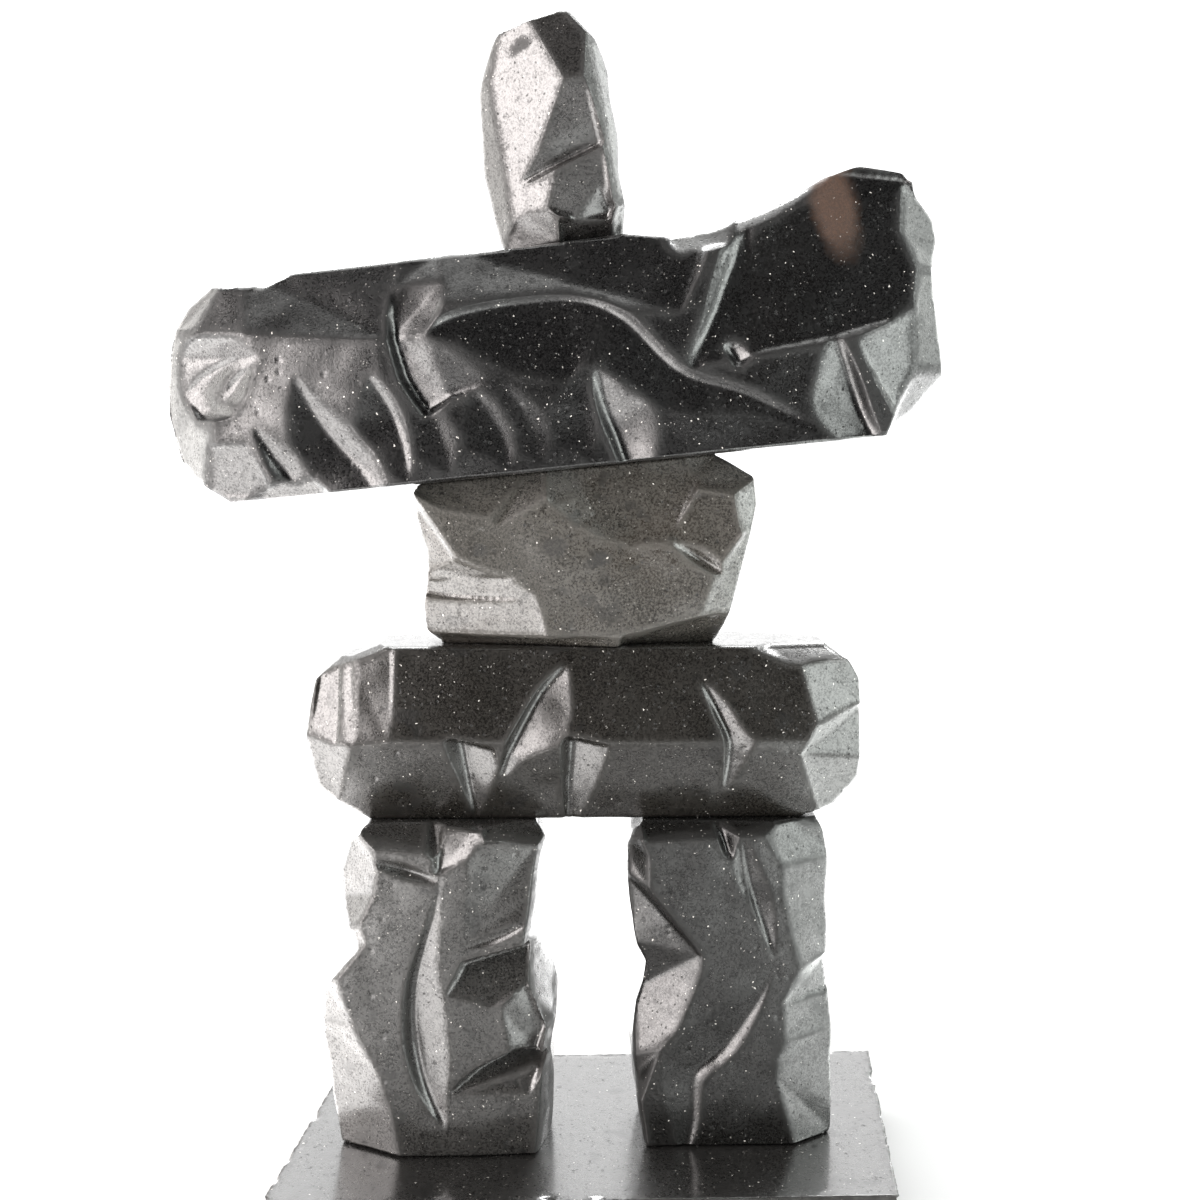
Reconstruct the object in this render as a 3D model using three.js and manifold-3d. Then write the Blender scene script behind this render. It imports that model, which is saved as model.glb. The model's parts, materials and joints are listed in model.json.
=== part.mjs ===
// A carved stone inukshuk: a standing figure stacked from seven faceted, dark stones on a slab.
// Millimetres, +Z up, the figure faces -Y. The origin is the middle of the slab's underside.

import * as THREE from "three";
import { ConvexGeometry } from "three/addons/geometries/ConvexGeometry.js";
import { mergeVertices } from "three/addons/utils/BufferGeometryUtils.js";
import Module from "manifold-3d";

// Driving dimensions, in millimetres. A stone's length runs from left to right, its
// thickness from front to back, and its height up from its underside.
const SEAT_GAP = 0.3; // clear gap between a stone and what it rests on
const SLAB_LENGTH = 164.5;
const SLAB_WIDTH = 91;
const SLAB_THICKNESS = 18;
const SLAB_LEAN = 11; // how far the slab's back edge is shifted to the right of its front edge
const LEG_HEIGHT = 90; // both legs carry the same stone, so they are equally high
const LEFT_LEG = { length: 66, thickness: 42, x: -43.4, y: -1 };
const RIGHT_LEG = { length: 59, thickness: 40, x: 36.8, y: 1.5 };
const HIP = { length: 153, height: 48, thickness: 42, x: -3.3, y: 1 };
const TORSO = { length: 93, height: 50.6, thickness: 36, x: -2.9, y: 2 };
const ARMS = { length: 206, height: 60, thickness: 42, shift: -0.2, y: 1 };
const HEAD = { length: 40, height: 58, thickness: 32, y: 1 };

// The edge of a stone that carries the next one, in percent of that stone's length and height
const ARM_SEAT_PERCENT = { from: [1.5, 85.5], to: [87, 101.5] };
const HEAD_SEAT_PERCENT = { from: [45, 97.3], to: [60.5, 99] };

// Carving depths and groove widths are in fortieths of the stone's thickness.
const CARVING_PARTS = 40;
const OVERCUT = 3; // how far a cutter stands out of the face, in the same parts
const FACET_MARGIN = 0.35; // how far a facet's cutter runs past its corners, in the same parts
const GROOVE_END = 0.06; // share of its full size that a groove keeps at its two ends
const GROOVE_FLARE = 1.7; // how far a groove's walls run on past the face
const GROOVE_OVERLAP = 0.1; // how far one stretch of a groove runs into the next, in the same parts
const HOLLOW_DETAIL = 2; // how finely a hollow's surface is divided, for a small one and a large one
const BOWL_DETAIL = 3;
const BOWL_SIZE = 17; // a hollow this many parts across or more, from its middle, is a large one

const wasm = await Module();
wasm.setup();

// Turns a closed three.js geometry into a solid that can be cut and joined.
function solidFrom(geometry) {
  geometry.deleteAttribute("normal");
  geometry.deleteAttribute("uv");
  const merged = mergeVertices(geometry, 1e-4);
  const vertProperties = new Float32Array(merged.attributes.position.array);
  const triVerts = new Uint32Array(merged.index.array);
  return new wasm.Manifold(new wasm.Mesh({ numProp: 3, vertProperties, triVerts }));
}

// Turns a finished solid back into a three.js geometry with flat faces.
function geometryFrom(solid) {
  const mesh = solid.getMesh();
  const geometry = new THREE.BufferGeometry();
  geometry.setAttribute("position", new THREE.BufferAttribute(new Float32Array(mesh.vertProperties), 3));
  geometry.setIndex(new THREE.BufferAttribute(new Uint32Array(mesh.triVerts), 1));
  return geometry;
}

// One block of stone and the cuts made in it. Places are [x, z, depth]: x in percent of the
// length from the left end, z in percent of the height, and depth behind the face being carved.
class Stone {
  constructor(size, outline) {
    this.length = size.length;
    this.height = size.height;
    this.thickness = size.thickness;
    this.part = size.thickness / CARVING_PARTS;
    this.outline = outline;
    this.cutters = [];
    this.planes = { front: [], back: [] };
  }

  // The point in millimetres for a place on the front, or on the back. A place without a depth
  // lies on the face as the borderless facets have left it.
  point([x, z, depth], face = "front") {
    const out = face === "front" ? -1 : 1;
    const spot = new THREE.Vector3((x / 100 - 0.5) * this.length, 0, (z / 100) * this.height);
    spot.y = out * (this.thickness / 2);
    if (depth !== undefined) return spot.setY(spot.y - out * depth * this.part);
    for (const plane of this.planes[face]) {
      const onPlane = -(plane.normal.x * spot.x + plane.normal.z * spot.z + plane.constant) / plane.normal.y;
      if (onPlane * out < spot.y * out) spot.y = onPlane;
    }
    return spot;
  }

  // The uncut block: the front outline, as deep as the stone
  block() {
    const corners = this.outline.map((place) => {
      const corner = this.point(place);
      return new THREE.Vector2(corner.x, corner.z);
    });
    const settings = { depth: this.thickness, bevelEnabled: false };
    const geometry = new THREE.ExtrudeGeometry(new THREE.Shape(corners), settings);
    geometry.rotateX(Math.PI / 2);
    geometry.translate(0, this.thickness / 2, 0);
    return solidFrom(geometry);
  }

  addHull(points) {
    this.cutters.push(solidFrom(new ConvexGeometry(points)));
  }

  // A flat facet inside its corners, each cut to its own depth
  facet(...corners) {
    const points = corners.map((corner) => this.point(corner));
    const centre = new THREE.Vector3();
    for (const point of points) centre.addScaledVector(point, 1 / points.length);
    const floor = points.map((point) => {
      const spoke = point.clone().sub(centre);
      return spoke.setLength(spoke.length() + FACET_MARGIN * this.part).add(centre);
    });
    const front = -this.thickness / 2 - OVERCUT * this.part;
    const lid = floor.map((corner) => new THREE.Vector3(corner.x, front, corner.z));
    this.addHull([...floor, ...lid]);
  }

  // A facet without borders: all that stands outside the plane through three places goes.
  chop(places, face = "front") {
    const [a, b, c] = places.map((place) => this.point(place, face));
    const plane = new THREE.Plane().setFromCoplanarPoints(a, b, c);
    if (plane.normal.y > 0 === (face === "front")) plane.negate();
    this.planes[face].push(plane);
    const side = 3 * (this.length + this.height + this.thickness);
    const geometry = new THREE.BoxGeometry(side, side, side);
    geometry.translate(0, 0, side / 2);
    geometry.applyQuaternion(new THREE.Quaternion().setFromUnitVectors(new THREE.Vector3(0, 0, 1), plane.normal));
    geometry.translate(a.x, a.y, a.z);
    this.cutters.push(solidFrom(geometry));
  }

  // A V-shaped cut that swells and dies out along a curve. Its left and right walls are named
  // as seen from the front when looking along the curve; peak is where it is largest.
  groove(route, { depth, left, right, peak = 0.5, face = "front" }) {
    const out = face === "front" ? -1 : 1;
    const places = route.map((place) => this.point(place, face));
    const curve = new THREE.SplineCurve(places.map((place) => new THREE.Vector2(place.x, place.z)));
    const level = new THREE.SplineCurve(places.map((place, i) => new THREE.Vector2(i, place.y)));
    const stretches = route.length;
    const sections = [];
    for (let i = 0; i <= stretches; i += 1) {
      const along = i / stretches;
      const swell = Math.sin(Math.PI * along ** (Math.log(0.5) / Math.log(peak)));
      const size = this.part * Math.max(swell, GROOVE_END);
      const spot = curve.getPoint(along);
      const tangent = curve.getTangent(along);
      const surface = level.getPoint(along).y;
      const corner = (sideways, sunk) => new THREE.Vector3(
        spot.x - tangent.y * sideways * size,
        surface - out * sunk * size,
        spot.y + tangent.x * sideways * size,
      );
      const onward = new THREE.Vector3(tangent.x, 0, tangent.y).multiplyScalar(GROOVE_OVERLAP * this.part);
      const rim = depth * (1 - GROOVE_FLARE);
      const walls = [corner(left * GROOVE_FLARE, rim), corner(-right * GROOVE_FLARE, rim)];
      const clear = out * (this.thickness / 2 + OVERCUT * this.part);
      const section = [corner(0, depth), ...walls, ...walls.map((wall) => wall.clone().setY(clear))];
      sections.push({
        start: section.map((point) => point.clone().sub(onward)),
        end: section.map((point) => point.clone().add(onward)),
      });
    }
    for (let i = 0; i < stretches; i += 1) this.addHull([...sections[i].start, ...sections[i + 1].end]);
  }

  // A smooth hollow with an oval rim, turned by an angle in degrees
  scoop(place, [halfWide, halfHigh], depth, turn = 0, face = "front") {
    const rimShare = Math.sqrt(0.75); // the oval's centre stands in front of the face by the hollow's depth
    const out = face === "front" ? -1 : 1;
    const centre = this.point(place, face);
    const detail = Math.max(halfWide, halfHigh) < BOWL_SIZE ? HOLLOW_DETAIL : BOWL_DETAIL;
    const geometry = new THREE.IcosahedronGeometry(1, detail);
    geometry.scale((halfWide * this.part) / rimShare, 2 * depth * this.part, (halfHigh * this.part) / rimShare);
    geometry.rotateY(THREE.MathUtils.degToRad(-turn));
    geometry.translate(centre.x, centre.y + out * depth * this.part, centre.z);
    this.cutters.push(solidFrom(geometry));
  }

  // The plainer hidden side: steep bevels all round, a ring of broad facets inside them, no two
  // alike, and one shallow hollow
  roughBack({ inset, fall, firstTurn, hollow }) {
    const corners = this.outline.map((place) => this.point(place));
    const rings = [
      { bevels: 9, inset, fall },
      { bevels: 5, inset: 2.4 * inset, fall: 0.45 * fall },
    ];
    for (const ring of rings) {
      for (let i = 0; i < ring.bevels; i += 1) {
        const turn = firstTurn + (2 * Math.PI * i) / ring.bevels;
        const across = new THREE.Vector2(Math.cos(turn), Math.sin(turn));
        const reach = Math.max(...corners.map((corner) => corner.x * across.x + corner.z * across.y));
        const uneven = 1 + 0.3 * Math.sin(2.4 * i + firstTurn);
        const hinge = reach - ring.inset * uneven * this.part;
        const edge = (distance, sideways, sunk) => [
          50 + ((across.x * distance - across.y * sideways) / this.length) * 100,
          ((across.y * distance + across.x * sideways) / this.height) * 100,
          sunk,
        ];
        this.chop([edge(hinge, 0, 0), edge(hinge, 10, 0), edge(reach, 0, ring.fall * uneven)], "back");
      }
    }
    this.scoop(hollow.place, hollow.size, hollow.depth, hollow.turn, "back");
  }

  // The finished stone as a named mesh, without the crumbs that crossing cuts leave behind
  mesh(name, material) {
    const carved = this.block().subtract(wasm.Manifold.union(this.cutters)).decompose();
    const stone = carved.reduce((largest, piece) => (piece.volume() > largest.volume() ? piece : largest));
    const mesh = new THREE.Mesh(geometryFrom(stone), material);
    mesh.name = name;
    return mesh;
  }
}

// Dark, satin-polished stone, warmer or cooler from piece to piece
function stoneMaterial(colour) {
  return new THREE.MeshStandardMaterial({ color: colour, roughness: 0.38, metalness: 0, flatShading: true });
}

// The slab: a low block whose ends lean, with a honed top and broken sides
function slab() {
  const halfLength = SLAB_LENGTH / 2;
  const halfWidth = SLAB_WIDTH / 2;
  const halfLean = SLAB_LEAN / 2;
  const shape = new THREE.Shape([
    new THREE.Vector2(-halfLength - halfLean, -halfWidth),
    new THREE.Vector2(halfLength - halfLean, -halfWidth),
    new THREE.Vector2(halfLength + halfLean, halfWidth),
    new THREE.Vector2(-halfLength + halfLean, halfWidth),
  ]);
  const geometry = new THREE.ExtrudeGeometry(shape, { depth: SLAB_THICKNESS, bevelEnabled: false });
  const mesh = new THREE.Mesh(geometryFrom(solidFrom(geometry)), stoneMaterial(0x4a4845));
  mesh.name = "base_slab";
  return mesh;
}

function leftLeg() {
  const leg = new Stone({ ...LEFT_LEG, height: LEG_HEIGHT }, [
    [7, 0], [4, 15], [3, 26], [1, 36], [1, 43], [2, 49], [6, 55], [17, 64], [10, 75], [9, 86], [13, 95],
    [20, 100], [91, 100], [95, 96], [93, 84], [90, 67], [94, 59], [98, 52], [100, 46], [99, 39], [96.5, 30],
    [98, 19], [97, 0],
  ]);
  // dark chamfer under the hip stone
  leg.facet([18, 99, 1], [25, 96, 0], [46, 94.5, 0], [48, 103, 16], [16, 103, 16]);
  leg.facet([46, 94.5, 0], [50, 92, 1], [52, 103, 12], [46, 103, 16]);
  leg.facet([70, 98, 0], [78, 97.5, 0], [90, 94.5, 0], [99, 96, 9], [97, 103, 14], [69, 103, 12]);
  // pale upper flank on the left
  leg.facet([24, 97, 0], [26, 88, 0], [5, 86, 13], [6, 103, 13]);
  leg.facet([26, 88, 0], [25, 82, 0], [5, 77, 13], [5, 86, 13]);
  leg.facet([25, 82, 0], [18.5, 73, 0], [10, 69, 6], [5, 77, 13]);
  leg.facet([18.5, 73, 0], [21, 67, 0], [12, 63, 5], [10, 69, 6]);
  // narrow waist facet
  leg.facet([21, 67, 0], [9, 56, 0], [-1, 56, 6], [12, 63, 5]);
  // long lower flank
  leg.facet([9, 56, 0], [15, 41, 0], [-3, 40, 9], [-1, 56, 6]);
  leg.facet([15, 41, 0], [25, 26, 0], [0, 22, 11], [-3, 40, 9]);
  leg.facet([25, 26, 0], [30, 15, 0], [1, 12, 11], [0, 22, 11]);
  leg.facet([30, 15, 0], [33.5, -1, 0], [2, -1, 11.5], [1, 12, 11]);
  // pale right flank
  leg.facet([90, 95, 0], [87, 80, 0], [99, 80, 24], [101, 100, 22]);
  leg.facet([87, 80, 0], [85, 62, 0], [99, 60, 26], [99, 80, 24]);
  leg.facet([85, 62, 0], [86, 53, 0], [104, 49, 30], [99, 60, 26]);
  leg.facet([86, 53, 0], [93, 39, 0.5], [104, 37, 24], [104, 49, 30]);
  leg.facet([93, 39, 0.5], [94, 31, 2], [102, 29, 22], [104, 37, 24]);
  leg.facet([94, 31, 2], [90, -1, 0], [102, -1, 30], [102, 20, 27], [102, 29, 20]);
  // sloping crease below the left shoulder
  leg.groove([[20, 92.5], [30, 90], [40, 87.5], [51, 85]], { depth: 2.2, left: 2.6, right: 1.4, peak: 0.6 });
  // long swelling groove down the middle, its right wall broad and pale
  leg.groove(
    [[51.5, 87], [48.5, 76], [44, 65], [40.5, 55], [39.3, 45], [39.8, 35], [42.5, 25], [46.5, 17], [52, 9]],
    { depth: 3.9, left: 9, right: 2.2, peak: 0.6 },
  );
  // short flutes at the top
  leg.groove([[54, 104, 12], [51, 97], [49.5, 86]], { depth: 3, left: 2, right: 3.5, peak: 0.35 });
  leg.facet([50.5, 88, 1.5], [67, 95, 0], [70, 104, 2.4], [52, 104, 5.4]);
  // upright hollow ending in a curved lip
  leg.facet([63, 96, 0], [61.5, 80, 0], [61, 67, 0], [85, 72, 0.8], [90, 80, 2.2], [92, 97, 3.5]);
  leg.groove(
    [[59, 65], [68, 66], [77, 68.5, 0.2], [86, 72, 0.8]], { depth: 1, left: 2.6, right: 0.6, peak: 0.55 },
  );
  // two notches cut in from the right
  leg.facet([54, 50, 0], [61, 59.5, 4], [72, 61.5, 5.5], [70, 46.5, 0]);
  leg.facet([70, 46.5, 0], [72, 61.5, 5.5], [87, 64.5, 6.5], [87, 53, 3]);
  leg.facet([76, 46, 0], [86, 53, 3], [93, 39, 4.5], [90, 31.5, 4], [80, 30, 0]);
  leg.facet([54.5, 19.5, 0], [86, 19, 0], [91, 27.5, 2.5], [72, 24, 1.5]);
  leg.facet([54.5, 19.8, 0], [72, 24, 1.5], [91, 27.5, 2.5], [94, 31.5, 8], [80, 31.5, 7], [66, 26.5, 4]);
  leg.chop([[97, 0, 6], [100, 50, 8], [99, 0, 34]]);
  leg.roughBack({
    inset: 11, fall: 11, firstTurn: 0.3,
    hollow: { place: [60, 66], size: [13, 20], depth: 1.6, turn: 20 },
  });
  return leg.mesh("left_leg", stoneMaterial(0x55524e));
}

function rightLeg() {
  const leg = new Stone({ ...RIGHT_LEG, height: LEG_HEIGHT }, [
    [8, 0], [5, 11], [3, 26], [3, 34], [5, 43], [8, 49], [9, 56], [5, 61], [3, 67], [1, 76], [0, 86],
    [0, 93], [3, 98], [8, 100], [91, 100], [94, 96], [96, 88], [95, 76], [96, 62], [95, 54], [97.5, 43],
    [99, 33], [98, 25], [99.5, 12], [99, 0],
  ]);
  // top edge under the hip stone, and the corner on its right
  leg.facet([10, 96, 0], [40, 97, 0], [40, 103, 13], [4, 103, 14]);
  leg.facet([40, 97, 0], [64, 98, 0], [72, 103, 12], [40, 103, 13]);
  leg.facet([77, 102, 9], [93, 97, 8], [100, 103, 18], [76, 104, 14]);
  // left shoulder
  leg.facet([5, 96, 2], [11, 101, 4], [4, 104, 12], [-4, 95, 10]);
  leg.facet([5, 96, 2], [10, 90, 0], [10, 81, 0], [-4, 86, 8], [-4, 95, 10]);
  // darker facet running in to the knee
  leg.facet([10, 81, 0], [31, 63.5, 0], [33, 60, 1.5], [3, 62, 7], [-4, 86, 8]);
  // pale hollow under it
  leg.facet([33, 60, 1.5], [34, 55, 0], [30, 47, 0], [2, 45, 11], [4, 62, 7]);
  leg.facet([30, 47, 0], [25, 39, 0], [15, 31, 0], [-1, 27, 6.5], [2, 45, 11]);
  leg.facet([15, 31, 0], [7, 27.5, 0], [6.5, 15, 0], [-1, 15, 8], [-1, 27, 6]);
  leg.facet([6.5, 15, 0], [10, -1, 0], [3, -1, 8], [-1, 15, 8]);
  // broad right flank, scalloped
  leg.facet([64, 97.5, 0], [71, 103, 6], [99, 103, 12], [98, 88, 11], [72, 88, 0]);
  leg.facet([72, 88, 0], [98, 90, 11], [98, 70, 10], [76, 67, 0], [72, 80, 0]);
  leg.facet([76, 67, 0], [98, 70, 10], [98, 56, 9], [81, 56, 0]);
  leg.facet([81, 56, 0], [98, 57, 11], [98, 46, 12], [73, 45, 0]);
  leg.facet([73, 46, 0], [99, 48, 11], [101, 32, 9], [74, 33, 0]);
  leg.facet([74, 33, 0], [101, 34, 9], [102, 14, 9], [70, 21, 0], [70, 28, 0]);
  leg.facet([70, 21, 0], [102, 16, 9], [102, -1, 9.5], [80, -1, 0]);
  // leaf-shaped cuts below the hip stone
  leg.facet([41, 101, 7], [51, 97, 0], [49, 90.5, 0], [46, 92, 2.5]);
  leg.groove([[68.5, 59], [62.5, 71], [56.5, 83], [52.5, 97]], { depth: 2.2, left: 1, right: 4.6, peak: 0.55 });
  leg.groove([[57, 76], [53.5, 86], [51, 97]], { depth: 1.2, left: 2.5, right: 1 });
  // stepped line running down to the foot
  leg.groove(
    [[27, -4], [31, 8], [32, 22], [42, 28.5], [49, 33.5], [56, 40.5], [62, 47.5], [67, 55]],
    { depth: 2.2, left: 11, right: 2.8, peak: 0.45 },
  );
  leg.chop([[4, 0, 8], [1, 50, 10], [2, 0, 34]]);
  leg.roughBack({
    inset: 10, fall: 12, firstTurn: 0.7,
    hollow: { place: [44, 30], size: [14, 17], depth: 1.6, turn: -15 },
  });
  return leg.mesh("right_leg", stoneMaterial(0x4c4b47));
}

function hipStone() {
  const hip = new Stone(HIP, [
    [11, 0], [2.2, 19], [0.3, 48], [1.8, 81], [5.5, 91], [8, 93], [13.5, 100], [93, 100], [97, 91], [99, 80],
    [99.3, 66], [99.3, 22], [95, 6], [89, 0],
  ]);
  // the face leans back above and below a ridge at mid-height
  hip.chop([[20, 47, 0], [60, 48, 0], [50, 100, 7]]);
  hip.chop([[20, 47, 0], [60, 48, 0], [50, 0, 7]]);
  hip.chop([[56, 48, 0], [88, 42, 1], [80, 0, 11]]);
  // left end: two turned facets with upright flutes above
  hip.facet([10, -2, 7], [9.5, 43, 1], [7, 50, 1.5], [-2, 50, 12], [-2, 15, 12], [5, -3, 11]);
  hip.facet([16, 48, 0], [8, 49, 1.5], [8, 93, 9], [16, 101, 8]);
  hip.facet([8, 50, 1.5], [7.5, 93, 9], [2, 95, 15], [-2, 50, 12]);
  for (const [x, lean, size] of [[6.6, 0.6, 0.8], [4.6, 1.4, 1.2], [2.4, 1.2, 1]]) {
    const sunk = 1.1 * (8 - x);
    const route = [[x - lean, 48, 1.5 + sunk], [x, 70, 4.5 + sunk], [x + lean, 96, 9 + sunk]];
    hip.groove(route, { depth: size, left: 2.2, right: 1.8 });
  }
  // top left corner, and the top edge
  hip.facet([8, 92, 5], [14, 100.5, 6], [14, 104, 14], [2, 96, 18]);
  hip.chop([[8, 93, 10], [14, 100, 7], [6, 93, 34]]);
  // right end: greenish turned facets and the dark corner above
  hip.facet([86, 91.5, 6], [97, 91, 8], [98, 104, 18], [80, 104, 13], [80, 100, 8]);
  hip.facet([88, 91, 5.8], [91, 58, 2], [101, 64, 11], [101, 91, 13]);
  hip.facet([91, 58, 2], [88, 40, 2.5], [101, 34, 11], [101, 66, 13]);
  hip.facet([88, 40, 2.5], [93, -2, 12], [101, -2, 18], [101, 34, 11]);
  // long cut with a pale leaf on its right
  hip.groove(
    [[35, 27], [36.5, 42], [39.3, 60], [42.5, 77], [46.5, 91]],
    { depth: 3.4, left: 1.3, right: 8, peak: 0.45 },
  );
  // chevron cut
  hip.groove(
    [[74.5, 18], [74.9, 36], [74.8, 50], [72.6, 66], [70, 82]],
    { depth: 2.7, left: 1, right: 5.6, peak: 0.48 },
  );
  // upright steps on the lower half
  hip.facet([28, 48, 6], [33.5, 43, 3], [35.3, 14, 5.2], [35.4, -2, 8.4], [30.5, -2, 12], [29.2, 26, 8.4]);
  hip.facet([28, 48, 6], [29.2, 26, 8.4], [30.5, -2, 12], [28, -2, 7.2], [26, 28, 2.7], [25.5, 49, 0.6]);
  hip.facet([47.6, 49, 4.6], [53.4, 46, 1], [53.7, 20, 4.2], [54, -2, 8.6], [46.8, -2, 13], [46.8, 24, 8]);
  hip.facet([47.6, 49, 4.6], [46.8, 24, 8], [46.8, -2, 13], [44.6, -2, 7.4], [44.8, 28, 2.9], [46, 50, 0.6]);
  hip.facet([53.8, 22, 3.8], [58, 25, 3.2], [58, 4, 6.2], [53.8, 4, 8]);
  hip.roughBack({
    inset: 9, fall: 11, firstTurn: 0.5,
    hollow: { place: [34, 56], size: [32, 12], depth: 1.8, turn: 6 },
  });
  return hip.mesh("hip_stone", stoneMaterial(0x47443f));
}

function torsoStone() {
  const torso = new Stone(TORSO, [
    [7, 0], [3, 7], [2.3, 20], [3.4, 36], [3, 50], [1.3, 60], [0, 68], [0, 81], ARM_SEAT_PERCENT.from,
    ARM_SEAT_PERCENT.to, [98.5, 90], [99.8, 75], [90, 10], [88, 0],
  ]);
  // dark hollow on the left shoulder
  torso.facet([1, 83, 3], [10, 73, 0], [22, 69, 0], [28, 77, 2], [35.5, 94, 7], [2, 94, 8]);
  torso.facet([22, 69, 0], [24.5, 64.5, 0], [38, 79, 0], [40, 88, 2], [35.5, 94, 7], [28, 77, 2]);
  // pale left side above the waist, with its bright edge
  torso.facet([-2, 84, 4], [1.5, 72, 1], [12, 47, 1], [3, 40, 9], [-3, 40, 15], [-4, 84, 12]);
  // broad light facet at the lower left
  torso.facet(
    [12, 46, 1.4], [31, 32.5, 0], [34.5, 26, 0.3], [37, 14, 0], [37, -2, 1.4], [-3, -2, 12.7],
    [-3, 42, 8.7],
  );
  torso.groove([[2, 28, 10], [12, 26, 7], [30, 25.5, 1.8]], { depth: 0.8, left: 1.8, right: 0.5, peak: 0.4 });
  torso.groove([[8, 31.5, 7.2], [20, 31, 3.6], [29, 30, 1]], { depth: 0.5, left: 1.4, right: 0.5 });
  // large bowl on the right, and the crease that ends it
  torso.facet([37, 93, 4.6], [40, 75, 0], [47, 79, 3.8], [43, 98, 8.5]);
  torso.facet([40, 75, 0], [47, 64, 0], [53, 71, 3.6], [47, 79, 3.8]);
  torso.facet([47, 64, 0], [55, 57, 0], [62, 53.5, 0], [64, 62.5, 3], [53, 71, 3.6]);
  torso.facet([62, 53.5, 0], [73, 55, 0], [74, 61, 2], [64, 62.5, 3]);
  torso.facet(
    [47, 79, 3.8], [53, 71, 3.6], [64, 62.5, 3], [74, 61, 2], [79, 84, 3.8], [86, 104, 9], [43, 98, 8.5],
  );
  torso.facet([74, 61, 2], [79, 84, 3.8], [92, 81, 2], [94, 64, 0.8], [90, 44, 0], [73, 55, 0]);
  torso.groove([[73, 57], [80, 48], [89, 37]], { depth: 3.2, left: 4.5, right: 1.2, peak: 0.6 });
  // right shoulder and side
  torso.facet([70, 96, 5], [76, 85, 4], [92, 81, 2], [101, 90, 9], [90, 106, 14]);
  torso.facet([92, 82, 2], [94, 66, 2], [96, 48, 0], [103, 74, 11], [101, 92, 10]);
  torso.facet([96, 50, 0], [86, 36, 0], [82, 14, 0], [92, 8, 3.4], [101, 74, 4.4]);
  // undercut at the lower right, and the worn lower edge
  torso.facet([60, 5.5, 0], [79, 6, 0], [91, 18, 2], [94, -3, 16], [60, -3, 11]);
  torso.facet([3, 4, 12], [34, 2.5, 1], [60, 4, 0], [60, -2, 4], [3, -2, 15]);
  torso.roughBack({
    inset: 9, fall: 10, firstTurn: 0.2,
    hollow: { place: [62, 60], size: [19, 11], depth: 1.6, turn: -12 },
  });
  return torso.mesh("torso_stone", stoneMaterial(0x57534d));
}

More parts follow.
